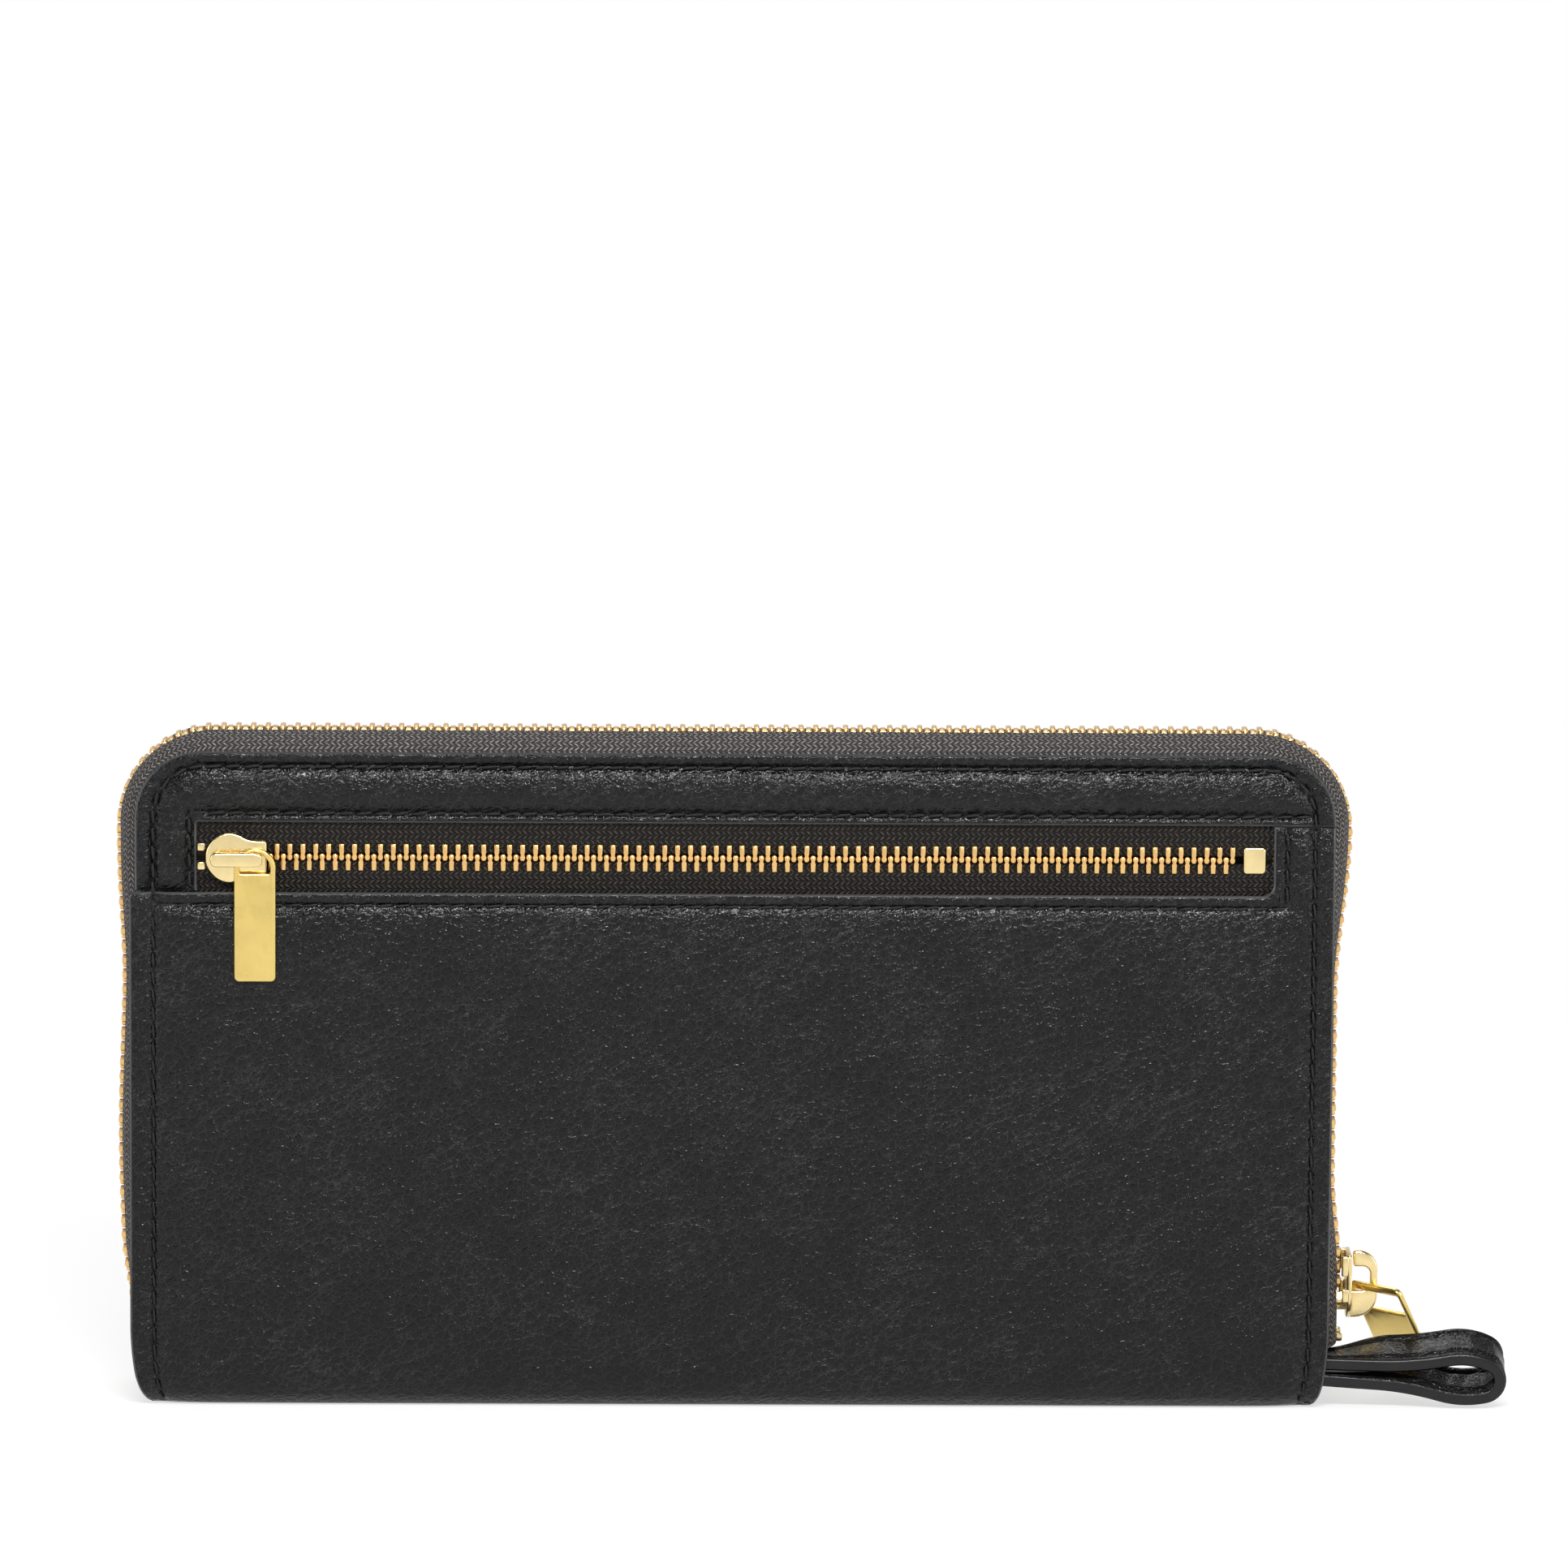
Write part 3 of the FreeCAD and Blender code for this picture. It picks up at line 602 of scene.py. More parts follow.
# %% Seam lines
SEAM_TOP, SEAM_LEFT, SEAM_RIGHT = 2.3, 2.9, 3.2
left_seam, right_seam, top_seam = SEAM_LEFT - HALF, HALF - SEAM_RIGHT, TOP - SEAM_TOP
round_seam = rounded_line([
    (left_seam + 1.3, -1.0, 0), (left_seam, 8.0, 4.0), (left_seam, top_seam, 8.2),
    (right_seam, top_seam, 8.0), (right_seam, 8.0, 4.0), (right_seam - 1.3, -1.0, 0),
])
front_seam = [Vector((-spot.x, spot.y)) for spot in round_seam]
frame_x, frame_end = -WINDOW_HALF - 1.1, WINDOW_HALF + 2.2
frame_top = straight((frame_x, WINDOW_TOP + 1.6), (right_seam - 0.5, WINDOW_TOP + 1.6))
frame_left = straight((frame_x, WINDOW_LOW + 0.8), (frame_x, WINDOW_TOP + 0.9))
frame_low = straight((left_seam + 0.5, WINDOW_LOW - 2.1), (frame_end, WINDOW_LOW - 2.1))
frame_right = straight((frame_end, WINDOW_LOW - 1.3), (frame_end, WINDOW_TOP - 0.6))
print("round seam:", len(stations(round_seam, STITCH_PITCH)), "stitches")

# %% [markdown]
# ## Leather parts
#
# `leather_part` gives a pattern its relief: a rolled edge, troughs under the seams and a soft swell between
# them. Then it gets its thickness and is laid on the cover.

# %% Leather part maker
ROLL, BEAD = 0.36, 0.6               # depth and width of the rolled edge
SWELL = 0.6                          # how far the leather rises between seams
THREAD_SINK = -0.36


def leather_part(name, corners, seams, lay, body, stands_for, extra=None, flat_end=None, spacing=2.2,
                 finish=None, thick=None, swell=SWELL, trough=TROUGH, roll=ROLL):
    bm, outline = pattern(corners, seams, spacing)
    skin = bm.faces[:]
    rim = {vert for vert in bm.verts if near(vert.co.xy, outline)[0] < RIM}
    for vert in bm.verts:
        spot = vert.co.xy
        (gap, along), inside = beside(spot, seams), near(spot, outline)[0]
        pinch = 0.5 + 0.5 * math.cos(2 * math.pi * along / STITCH_PITCH)
        edge = max(0.0, 1 - inside / BEAD)
        if flat_end is not None:
            edge *= soft((spot.y - flat_end) / 1.5)
        rise = swell * (1 - math.exp(-gap / 2.4)) * soft(inside / 3 + 0.45)
        rise -= trough * (math.exp(-(gap / 0.45) ** 2) + pinch * 0.5 * math.exp(-(gap / 0.9) ** 2))
        rise -= roll * edge ** 2 + swell * 0.5
        vert.co.z = rise + (extra(spot.x, spot.y) if extra else 0.0)
    painted = {face for face in skin if all(vert in rim for vert in face.verts)}
    bmesh.ops.recalc_face_normals(bm, faces=skin)
    if sum(face.normal.z for face in skin) < 0:
        bmesh.ops.reverse_faces(bm, faces=skin)
    top = {vert for face in skin for vert in face.verts}
    bmesh.ops.solidify(bm, geom=skin, thickness=HIDE if thick is None else thick)
    for face in bm.faces:
        sides = {vert in top for vert in face.verts}
        face.material_index = 1 if len(sides) == 2 or face in painted else 0
    for vert in bm.verts:
        vert.co = lay(*vert.co)
    bmesh.ops.recalc_face_normals(bm, faces=bm.faces)
    return piece(name, bm, body, [finish or cover_leather, edge_paint], stands_for)


# %% [markdown]
# ## The main panel and the yoke
#
# Two pieces of leather make the outer face of the back cover, each shaped like an L. The main panel lies over the
# yoke at the left and slips under it at the right, so each one is lifted or sunk only near the place where they
# cross. Moving a whole panel instead would leave a gap along the rest of the seam.

# %% Back cover: main panel and yoke
def main_lift(u, v):
    """The main panel lies over the yoke at the left of the window and under it at the right."""
    left = soft((-WINDOW_HALF + 2 - u) / 4) * soft((v - WINDOW_LOW + 8) / 6)
    right = soft((u - WINDOW_HALF) / 3) * soft((v - WINDOW_TOP + 4) / 3.5)
    return 0.3 * left - 0.45 * right


def yoke_lift(u, v):
    left = soft((-WINDOW_HALF + 1 - u) / 3) * soft((WINDOW_LOW + 4 - v) / 3.5)
    right = soft((u - WINDOW_HALF + 1) / 4) * soft((WINDOW_TOP + 6 - v) / 5)
    return 0.4 * right - 0.55 * left


BASE_END = FOLD - ARC - 2 * FOLD_Y
LEFT = HALF + STEP
FOOT_HALF = 92.8                     # half the width of the leather where it reaches the underside
leather_part("main_leather", [
    (0.2 - FOOT_HALF, BASE_END, 0), (FOOT_HALF - 0.2, BASE_END, 0), (FOOT_HALF, FOLD - ARC, 0.6),
    (HALF - 0.75, 3.6, 2.6), (HALF, 10.0, 3.0), (HALF, WINDOW_TOP, 0), (WINDOW_HALF, WINDOW_TOP, 0),
    (WINDOW_HALF, WINDOW_LOW, 1.8), (-LEFT, WINDOW_LOW, 0.9), (-LEFT, 10.0, 3.0), (-LEFT + 0.9, 3.6, 2.6),
    (-FOOT_HALF, FOLD - ARC, 0.6),
], [round_seam, frame_low, frame_right], lay_back, "back_cover", ["main_panel_leather"], main_lift,
    flat_end=BASE_END)
leather_part("yoke", [
    (-HALF, WINDOW_LOW, 0), (-WINDOW_HALF, WINDOW_LOW, 0), (-WINDOW_HALF, WINDOW_TOP, 0.5), (HALF, WINDOW_TOP, 0),
    (HALF, TOP, CORNER), (-HALF, TOP, CORNER),
], [round_seam, frame_top, frame_left], lay_back, "back_cover", ["yoke_leather"], yoke_lift, swell=1.5)
stitching("back_stitching", [round_seam, frame_top, frame_left, frame_low, frame_right], lay_back, "back_cover",
          sunk=THREAD_SINK)

# %% [markdown]
# ## Zip tapes
#
# A zip tape is a woven ribbon. It starts as a flat grid whose UV map is in millimetres, gets its thickness, and
# is then laid in place by a function. On the main zip it runs up the left side, over the top and down the right,
# and its section goes from the bead under the teeth to the seam allowance behind the leather.


# %% Ribbon tools
def ribbon(length, width, thick, lay, step, ways):
    """A woven strip laid by lay(along, across, height)."""
    bm = bmesh.new()
    uv = bm.loops.layers.uv.new("UVMap")
    bmesh.ops.create_grid(bm, x_segments=max(round(length / step), 2), y_segments=ways, size=0.5)
    for vert in bm.verts:
        vert.co = ((vert.co.x + 0.5) * length, (vert.co.y + 0.5) * width, 0)
    for face in bm.faces:
        for loop in face.loops:
            loop[uv].uv = loop.vert.co.xy
    bmesh.ops.solidify(bm, geom=bm.faces[:], thickness=thick)
    for vert in bm.verts:
        vert.co = lay(*vert.co)
    bmesh.ops.recalc_face_normals(bm, faces=bm.faces)
    return bm


# %% Path of the main zip
FOOT_LEFT, FOOT_RIGHT = 6.0, 9.4     # heights of the tapes' two ends
CORNER_X, CORNER_Z = ZIP_HALF - ZIP_CORNER, ZIP_TOP - ZIP_CORNER


def bowed(point):
    """The zip's straight sides draw in a little between the corners and its ends."""
    drop = soft((CORNER_Z - point.z) / 26)
    if point.x < 0:                      # the left end also runs in behind the covers' lower corner
        inwards = 0.5 * drop + 1.3 * soft((26 - point.z) / 14) + 0.35 * math.sin(point.z * 0.11) * drop
        return point + Vector((inwards, 0, 0))
    return point - Vector(((0.8 + 1.2 * soft((point.z - 21) / 16)) * drop, 0, 0))


def around(along, into, radius=ZIP_CORNER):
    """A point `into` millimetres inside the zip's outermost line, and the angle turned there."""
    quarter = radius * math.pi / 2
    rise, run = CORNER_Z - FOOT_LEFT, 2 * CORNER_X
    first = max(0.0, min(1.0, (along - rise) / quarter))
    second = max(0.0, min(1.0, (along - rise - quarter - run) / quarter))
    right = max(0.0, min(run, along - rise - quarter))
    down = max(0.0, along - rise - 2 * quarter - run)
    centre = Vector((right - CORNER_X, 0, FOOT_LEFT + min(along, rise) - down))
    turn = (first + second) * math.pi / 2
    return bowed(centre + Vector((-math.cos(turn), 0, math.sin(turn))) * (ZIP_CORNER - into)), turn


# %% Section of the main zip's tapes
def along_section(section, across):
    """A point on a line, and its outward side, at a distance that is kept between its ends."""
    point, way = point_at(section, min(max(across, 0.0), length_of(section) - 0.001))
    return point, Vector((-way.y, way.x))


# The section's points are (out from the middle, in from the outermost line, reach of the bend).
tape_section = rounded_line([
    (1.9, 1.5, 0), (3.0, 0.45, 0.6), (6.0, 1.1, 1.5), (9.4, 3.0, 1.6), (10.35, 5.2, 1.6), (10.35, 12.4, 0)], 4)
TAPE_ACROSS = length_of(tape_section)
TAPE_LONG = 2 * (CORNER_X + CORNER_Z) - FOOT_LEFT - FOOT_RIGHT + ZIP_CORNER * math.pi
TAPE_THICK = 0.5
SIDE_SINK, FAR_SINK = 0.6, 1.0       # how far the tape lies under the teeth on the flanks, and at the front


def main_tape_lay(side):
    def lay(along, across, height):
        (out, into), way = along_section(tape_section, across)
        wave = 0.12 * math.sin(along * 0.21) * math.sin(along * 0.083 + side) * soft((across - 1) / 3)
        out, into = out + way.x * height, into + way.y * height - wave
        flank = (1 - math.sin(around(along, 0.0)[1])) ** 2 * SIDE_SINK
        sink = max(flank, FAR_SINK if side > 0 else 0.0) * soft((out - 1.6) / 1.6)
        return around(along, into + sink)[0] + Vector((0, side * out, 0))
    return lay


# %% [markdown]
# ## The main zip's tapes
#
# Each cover carries one tape, sewn in behind its leather. They mirror each other, so one loop lays both. The grid
# is finer across the tape than along it, because the section bends sharply beside the teeth.

# %% Main zip tapes
for name, side in COVERS:
    tape = ribbon(TAPE_LONG, TAPE_ACROSS, TAPE_THICK, main_tape_lay(side), 1.6, 30)
    piece(f"zip_tape_{name}", tape, f"{name}_cover", [tape_weave], [f"main_zip_tape_{name}"])

# %% [markdown]
# ## Plates and blocks
#
# Sliders, pulls, stops and teeth are stamped or cast, so most of them are a flat outline with a thickness and
# softened edges. `slab` makes one: a rounded outline, a hole where the part has one, an extrusion, and a bevel
# along the sharp edges that catches the light as worn metal does.


# %% Slab tools
def slab(corners, low, high, edge, hole=(), rounds=2, segments=5):
    """A bmesh of a plate between two heights, with its sharp edges softened by edge."""
    bm = bmesh.new()
    face = rounded_face(bm, corners, segments)
    if hole:
        bm.faces.remove(face)
        inner = bmesh.new()
        rounded_face(inner, hole, segments)
        mesh = bpy.data.meshes.new("hole")
        inner.to_mesh(mesh)
        inner.free()
        bm.from_mesh(mesh)
        bpy.data.meshes.remove(mesh)
        bmesh.ops.delete(bm, geom=bm.faces[:], context="FACES_ONLY")
        bmesh.ops.triangle_fill(bm, edges=bm.edges[:], use_beauty=True)
        bmesh.ops.dissolve_limit(bm, angle_limit=0.02, use_dissolve_boundaries=False, verts=bm.verts[:],
                                 edges=[part for part in bm.edges if not part.is_boundary])
    for vert in bm.verts:
        vert.co.z = low
    raised = bmesh.ops.extrude_face_region(bm, geom=bm.faces[:], use_keep_orig=True)
    bmesh.ops.translate(bm, verts=verts_of(raised), vec=(0, 0, high - low))
    bmesh.ops.recalc_face_normals(bm, faces=bm.faces)
    if edge:
        sharp = [part for part in bm.edges if part.is_manifold and part.calc_face_angle(0) > 0.9]
        chosen = [part for part in sharp if abs(part.verts[0].co.z - part.verts[1].co.z) < 0.001]
        bevelled(bm, chosen, edge, rounds)
        bmesh.ops.remove_doubles(bm, verts=bm.verts, dist=0.01)
    return bm


# %% Blocks and places
def block(low, high, edge, rounds=2):
    """A box with all its edges softened."""
    bm = bmesh.new()
    bmesh.ops.create_cube(bm, size=1.0)
    size, middle = Vector(high) - Vector(low), (Vector(high) + Vector(low)) / 2
    bmesh.ops.scale(bm, vec=size, verts=bm.verts)
    bmesh.ops.translate(bm, vec=middle, verts=bm.verts)
    bevelled(bm, bm.edges[:], edge, rounds)
    return bm


def joined(*parts):
    """One bmesh of several, each of which is freed."""
    whole = bmesh.new()
    for part in parts:
        mesh = bpy.data.meshes.new("part")
        part.to_mesh(mesh)
        part.free()
        whole.from_mesh(mesh)
        bpy.data.meshes.remove(mesh)
    return whole


def standing(x_axis, z_axis, at):
    """Matrix that takes local X and Z to two directions and the origin to a point."""
    x_axis, z_axis = Vector(x_axis), Vector(z_axis)
    turn = Matrix((x_axis, z_axis.cross(x_axis), z_axis)).transposed().to_4x4()
    return Matrix.Translation(at) @ turn


def placed(bm, matrix):
    """The bmesh moved by a matrix, with its faces kept outward if the matrix mirrors."""
    bmesh.ops.transform(bm, matrix=matrix, verts=bm.verts)
    if matrix.determinant() < 0:
        bmesh.ops.reverse_faces(bm, faces=bm.faces)
    return bm


# %% [markdown]
# ## Teeth
#
# A metal tooth has a straight leg clamped on the tape's bead, a narrow neck, and a head that fits between the
# heads of the other half. It is modelled once, with a few dozen faces, and copied along the tape.


# %% Copies and metal pieces
def repeated(bm, spots):
    """What is in the bmesh, copied to every matrix; the first one is then deleted."""
    seed, everything = bm.verts[:], bm.verts[:] + bm.edges[:] + bm.faces[:]
    for spot in spots:
        copied = verts_of(bmesh.ops.duplicate(bm, geom=everything))
        bmesh.ops.transform(bm, matrix=spot, verts=copied)
    bmesh.ops.delete(bm, geom=seed, context="VERTS")
    bmesh.ops.recalc_face_normals(bm, faces=bm.faces)
    return bm


def metal(name, bm, body, node, finish=slider_gold, sharp=50):
    """A gold coloured piece that stands for one CAD node."""
    return piece(name, bm, body, [finish], [node], sharp)


# %% Tooth maker
def tooth(half, reach, leg, head, thick):
    """A tooth whose leg starts at -half and whose head ends at reach; leg and head are widths."""
    wing, knob = leg / 2, head / 2
    side = [(wing, -half, 0), (wing, -0.75, 0), (wing * 0.7, -0.45, 0), (knob, -0.05, 0),
            (knob * 0.85, reach * 0.6, 0), (knob * 0.4, reach, 0)]
    corners = side + [(-x, y, 0) for x, y, _ in reversed(side)]
    return slab(corners, -thick / 2, thick / 2, min(leg, head) * 0.16, rounds=1)


def chain(name, one, spots, body, node):
    """Copies of one tooth at the given matrices, each a touch askew."""
    askew = [spot @ Matrix.Rotation(chance.uniform(-0.02, 0.02), 4, "Z") for spot in spots]
    return metal(name, repeated(one, askew), body, node, tooth_gold)


# %% [markdown]
# ## The main zip's chain
#
# The teeth of one half stand between those of the other, half a pitch further on. An array along a curve could
# set them, but here each gets its own matrix on the path, so the ones inside the slider can be left out: there
# the wedge parts the chain.

# %% Main zip teeth
MAIN_PITCH, MAIN_HALF, MAIN_THICK = 2.36, 2.9, 2.2
TEETH_START, TEETH_END = 14.3, 11.2  # heights of the first and the last tooth
HEADING_DOWN = 3.14                  # the angle turned once both corners are behind
MAIN_SLIDER_Z, MAIN_SLIDER_LENGTH = 18.2, 10.8


def around_teeth(along):
    return around(along, MAIN_THICK / 2, ZIP_CORNER - MAIN_THICK / 2)


wedge_low, wedge_high = MAIN_SLIDER_Z - MAIN_SLIDER_LENGTH / 2 - 1.0, MAIN_SLIDER_Z - MAIN_SLIDER_LENGTH * 0.06
for name, side in COVERS:
    spots = []
    along = TEETH_START - FOOT_LEFT + (MAIN_PITCH / 2 if side > 0 else 0)
    point, turn = around_teeth(along)
    while turn < HEADING_DOWN or point.z > TEETH_END:
        if turn < HEADING_DOWN or not wedge_low < point.z < wedge_high:
            way, out = (math.sin(turn), 0, math.cos(turn)), (-math.cos(turn), 0, math.sin(turn))
            spots.append(standing(way, out, point) @ Matrix.Scale(-side, 4, (0, 1, 0)))
        along += MAIN_PITCH
        point, turn = around_teeth(along)
    chain(f"teeth_{name}", tooth(MAIN_HALF, 0.7, 0.84, 1.0, MAIN_THICK), spots, f"{name}_cover",
          f"main_zip_teeth_{name}")

# %% [markdown]
# ## The main zip's ends
#
# A start box joins the tapes below the slider, and a stop on each tape ends the chain at the far end. They are
# cast blocks, so a bevelled box of the CAD part's own size is enough.

# %% Main zip ends
low, high = span("main_zip_start_box")
inwards = bowed((low + high) / 2) - (low + high) / 2 + Vector((0.5, 0, 0))
metal("start_box", block(low + inwards, high + inwards, 0.45, 3), "back_cover", "main_zip_start_box", sharp=40)
for name, _ in COVERS:
    node = f"main_zip_stop_{name}"
    metal(f"top_stop_{name}", block(*span(node), 0.35), f"{name}_cover", node, sharp=40)

# %% [markdown]
# ## The outer pocket's zip
#
# This zip is sewn flat behind the window in the leather. Its slider rests at the left, so nearly the whole chain
# shows. Both tapes carry a thicker bead where the teeth grip them. The coin pocket's tapes are as straight but
# plain, so one function lays both kinds.

# %% Tape of a straight zip
BEAD_HIGH, BEAD_AT, BEAD_WIDE = 0.42, 1.9, 0.7


def small_tape(kind, name, way, body, lap, thick, bead_high, step, ways):
    """One of a straight zip's tapes, which reaches `lap` millimetres under the chain; way is 1 for the upper one."""
    node = f"{kind}_zip_tape_{name}"
    low, high = span(node)
    near_edge, face = (low.z if way > 0 else high.z), (low.y if bead_high else high.y)

    def lay(along, across, height):
        bead = bead_high * math.exp(-((across - BEAD_AT) / BEAD_WIDE) ** 2)
        ripple = bead_high / 7 * math.sin(along * 0.31 + way) * soft(across / 3)
        return Vector((low.x + along, face - height - bead - ripple, near_edge + way * (across - lap)))

    tape = ribbon(high.x - low.x, high.z - low.z + lap, thick, lay, step, ways)
    piece(f"{kind}_tape_{name}", tape, body, [pocket_weave], [node])


# %% [markdown]
# ## The outer pocket's chain
#
# A smaller tooth is copied along two straight rows that face each other. The end box closes the chain at the
# right, and two stops keep the slider on it at the left.

# %% Pocket tapes, teeth and ends
POCKET_PITCH, POCKET_HALF, POCKET_THICK = 2.05, 2.17, 1.7
TAPE_LAP = 1.5                       # how far each tape reaches under the teeth
teeth_box = span("pocket_zip_teeth_lower")
ZIP_Y = (teeth_box[0].y + teeth_box[1].y) / 2
ZIP_MID = (WINDOW_LOW + WINDOW_TOP) / 2
for name, way in (("upper", 1), ("lower", -1)):
    small_tape("pocket", name, way, "back_cover", TAPE_LAP, TAPE_THICK, BEAD_HIGH, 2.0, 14)
    stop, teeth = f"pocket_zip_stop_{name}", f"pocket_zip_teeth_{name}"
    metal(f"pocket_stop_{name}", block(*span(stop), 0.3), "back_cover", stop, sharp=40)
    first, last = (corner.x for corner in span(teeth))
    middle, spots = first + 0.44, []
    while middle < last:
        spots.append(standing((-way, 0, 0), (0, -1, 0), (middle, ZIP_Y, ZIP_MID)))
        middle += POCKET_PITCH
    chain(f"pocket_teeth_{name}", tooth(POCKET_HALF, 0.55, 0.8, 0.88, POCKET_THICK), spots, "back_cover", teeth)

low, high = span("pocket_zip_end_box")
end_block = slab([(low.x, low.z, 0.5), (high.x, low.z, 0.7), (high.x, high.z, 0.7), (low.x, high.z, 0.5)],
                 -high.y, -low.y, 0.35, rounds=3)
metal("pocket_end_box", placed(end_block, standing((1, 0, 0), (0, -1, 0), (0, 0, 0))), "back_cover",
      "pocket_zip_end_box", sharp=40)

# %% [markdown]
# ## Sliders
#
# A slider is two plates joined by a wedge. The wide end parts the teeth and the narrow end presses them together,
# and flanges along the sides keep the tapes in. Over the top plate of the pocket sliders stands a bridge, a flat
# bar, and the pull hangs on the pin under it. They are drawn lying down, with the chain along X, and then stood up.


# %% Slider maker
PIN = 1.4                            # thickness of the pin that a pull turns on
PULL_PLAY = 0.15


def slider(length, wide, tail, thick, plate=0.8, play=0.12, slot=0.36, wedge=1.6):
    """A slider for a chain of that thickness, wide at -X, and the height of its top face."""
    end, w, t = length / 2, wide / 2, tail / 2
    room = thick / 2 + play
    half = [(-end, w * 0.36, w * 0.3), (-end * 0.54, w, end * 0.3), (0, w, end * 0.22), (end * 0.4, t, end * 0.18),
            (end, t * 0.97, 0.5)]
    plan = [(x, -y, r) for x, y, r in half] + half[::-1]
    post = wedge / 2
    parts = [slab(plan, room, room + plate, 0.3, rounds=3), slab(plan, -room - plate, -room, 0.3, rounds=3),
             slab([(-end * 0.8, 0, 0.2), (-end * 0.5, -post, 0.3), (-end * 0.2, 0, 0.2), (-end * 0.5, post, 0.3)],
                  -room, room, 0)]
    flange = t - thick / 2 - 0.05
    lip = max(0.5, min(flange, 0.9))
    for start, stop, outer in ((end * 0.36, end - 0.2, t), (-end * 0.4, 0, w)):
        for side in (-1, 1):
            for level in (slot, -room - 0.3):
                low = (start, side * outer - (lip if side > 0 else 0), level)
                high = (stop, side * outer + (lip if side < 0 else 0), level + room + 0.3 - slot)
                parts.append(block(low, high, 0.2))
    return joined(*parts), room + plate


# %% Bridge and pull
def bridge(length, plate, under, pin_at, width=2.3, bar=0.9, pin=PIN):
    """A flat bar on a foot at the wide end, with the round pin that the pull turns on near its other end."""
    top, back, ahead, w = under + bar, -length * 0.42, pin_at + pin / 2 + 0.5, width / 2
    plan = [(back, -w, 1.0), (ahead - 1.2, -w, 0.6), (ahead, -w * 0.72, 0.5), (ahead, w * 0.72, 0.5),
            (ahead - 1.2, w, 0.6), (back, w, 1.0)]
    foot = [(back, -w, 1.0), (back + 1.5, -w, 0.3), (back + 1.5, w, 0.3), (back, w, 1.0)]
    post = bmesh.new()
    bmesh.ops.create_cone(post, segments=24, radius1=pin / 2, radius2=pin / 2, depth=under - plate + 0.6,
                          cap_ends=True)
    bmesh.ops.translate(post, verts=post.verts, vec=(pin_at, 0, (under + plate) / 2))
    return joined(slab(plan, under, top, 0.32, rounds=3), slab(foot, plate - 0.2, top - 0.35, 0.15), post)


def hanging_pull(width, length, eye_height, rim=0.85, thick=1.0, edge=0.3):
    """A plate with a D-shaped eye, whose pin is at the origin; it hangs along -Y."""
    w, e, crest = width / 2, width / 2 - rim, PIN / 2 + PULL_PLAY
    top = crest + rim
    eye = rectangle(-e, crest - eye_height, e, crest, 0.3, e * 0.98)
    return slab(rectangle(-w, top - length, w, top, 0.8, w * 0.98), 0, thick, edge, hole=eye, rounds=3, segments=10)


# %% Slider of a straight zip
def small_slider(kind, sizes, pull, facing, at, flip=1):
    """The plates, bridge and pull of one of the two pocket sliders."""
    low, high = span(f"{kind}_slider_body")
    length, rider = high.x - low.x, f"{kind}_slider"
    plates, plate = slider(length, *sizes)
    middle = ((low.x + high.x) / 2, *at)
    stand = standing((1, 0, 0), facing, middle) @ Matrix.Scale(flip, 4, (0, 1, 0))
    metal(f"{rider}_plates", placed(plates, stand), rider, f"{rider}_body")
    pin_x = length * 0.31
    metal(f"{rider}_bar", placed(bridge(length, plate, plate + 1.3, pin_x), stand), rider, f"{rider}_bridge")
    pin = stand @ Matrix.Translation((pin_x, 0, plate + PULL_PLAY))
    metal(f"{kind}_plate", placed(pull, pin), f"{kind}_pull_plate", f"{kind}_pull", pull_gold)


# %% [markdown]
# ## The outer pocket's slider
#
# The slider lies on the chain with its wide end at the left. Its pull is a body of its own, so the plate is made
# around the pin's middle and then put there. The coin pocket has the same kind, so a function makes both.

# %% Pocket slider and its pull
small_slider("pocket", (8.0, 5.6, POCKET_THICK), hanging_pull(6.6, 21.5, 3.2), (0, -1, 0), (ZIP_Y, ZIP_MID))

# %% [markdown]
# ## Main slider, hook and tab
#
# The main slider stands edge-on at the right. Its hook is an open crown: a thick foot at the wide end, an arch,
# and a tip that ends just above the plate, so that the tab can be hooked in. The tab's top bar lies in the arch.


# %% Main slider
low, high = span("main_slider_body")
body, plate = slider(high.z - low.z, 9.0, 7.6, MAIN_THICK)
main_slider = standing((0, 0, 1), (1, 0, 0), (ZIP_HALF - MAIN_THICK / 2, 0, (low.z + high.z) / 2))
metal("main_slider_plates", placed(body, main_slider), "main_slider", "main_slider_body")


HOOK_WINDOW, HOOK_FOOT = 3.1, 4.4    # height of the hook's opening, and length of its foot


def hook(length, plate, rim=1.2, tip_length=2.8, thick=1.2):
    """An open crown that stands on the top plate, in the plane of the chain."""
    foot, tip = -length / 2, length / 2 + 0.35
    base, free, hollow = foot + HOOK_FOOT, tip - tip_length, plate + HOOK_WINDOW
    corners = [(foot, plate - 0.2, 0), (base, plate - 0.2, 0.4), (base, hollow, 1.35), (free, hollow, 1.2),
               (free, plate + 0.45, 0.3), (tip - 0.3, plate + 0.25, 0.6), (tip, hollow + rim, rim * 2.8),
               (foot, hollow + rim, rim * 3.1)]
    return placed(slab(corners, -thick / 2, thick / 2, 0.35, rounds=3, segments=8),
                  Matrix.Rotation(math.pi / 2, 4, "X"))


metal("main_slider_hook", placed(hook(high.z - low.z, plate), main_slider), "main_slider", "main_slider_crown")

# %% [markdown]
# ## The main slider's tab
#
# The tab is a flat plate with a square hole. Its top bar lies in the hook, and the plate hangs turned and leaning,
# as a loose tab comes to rest.

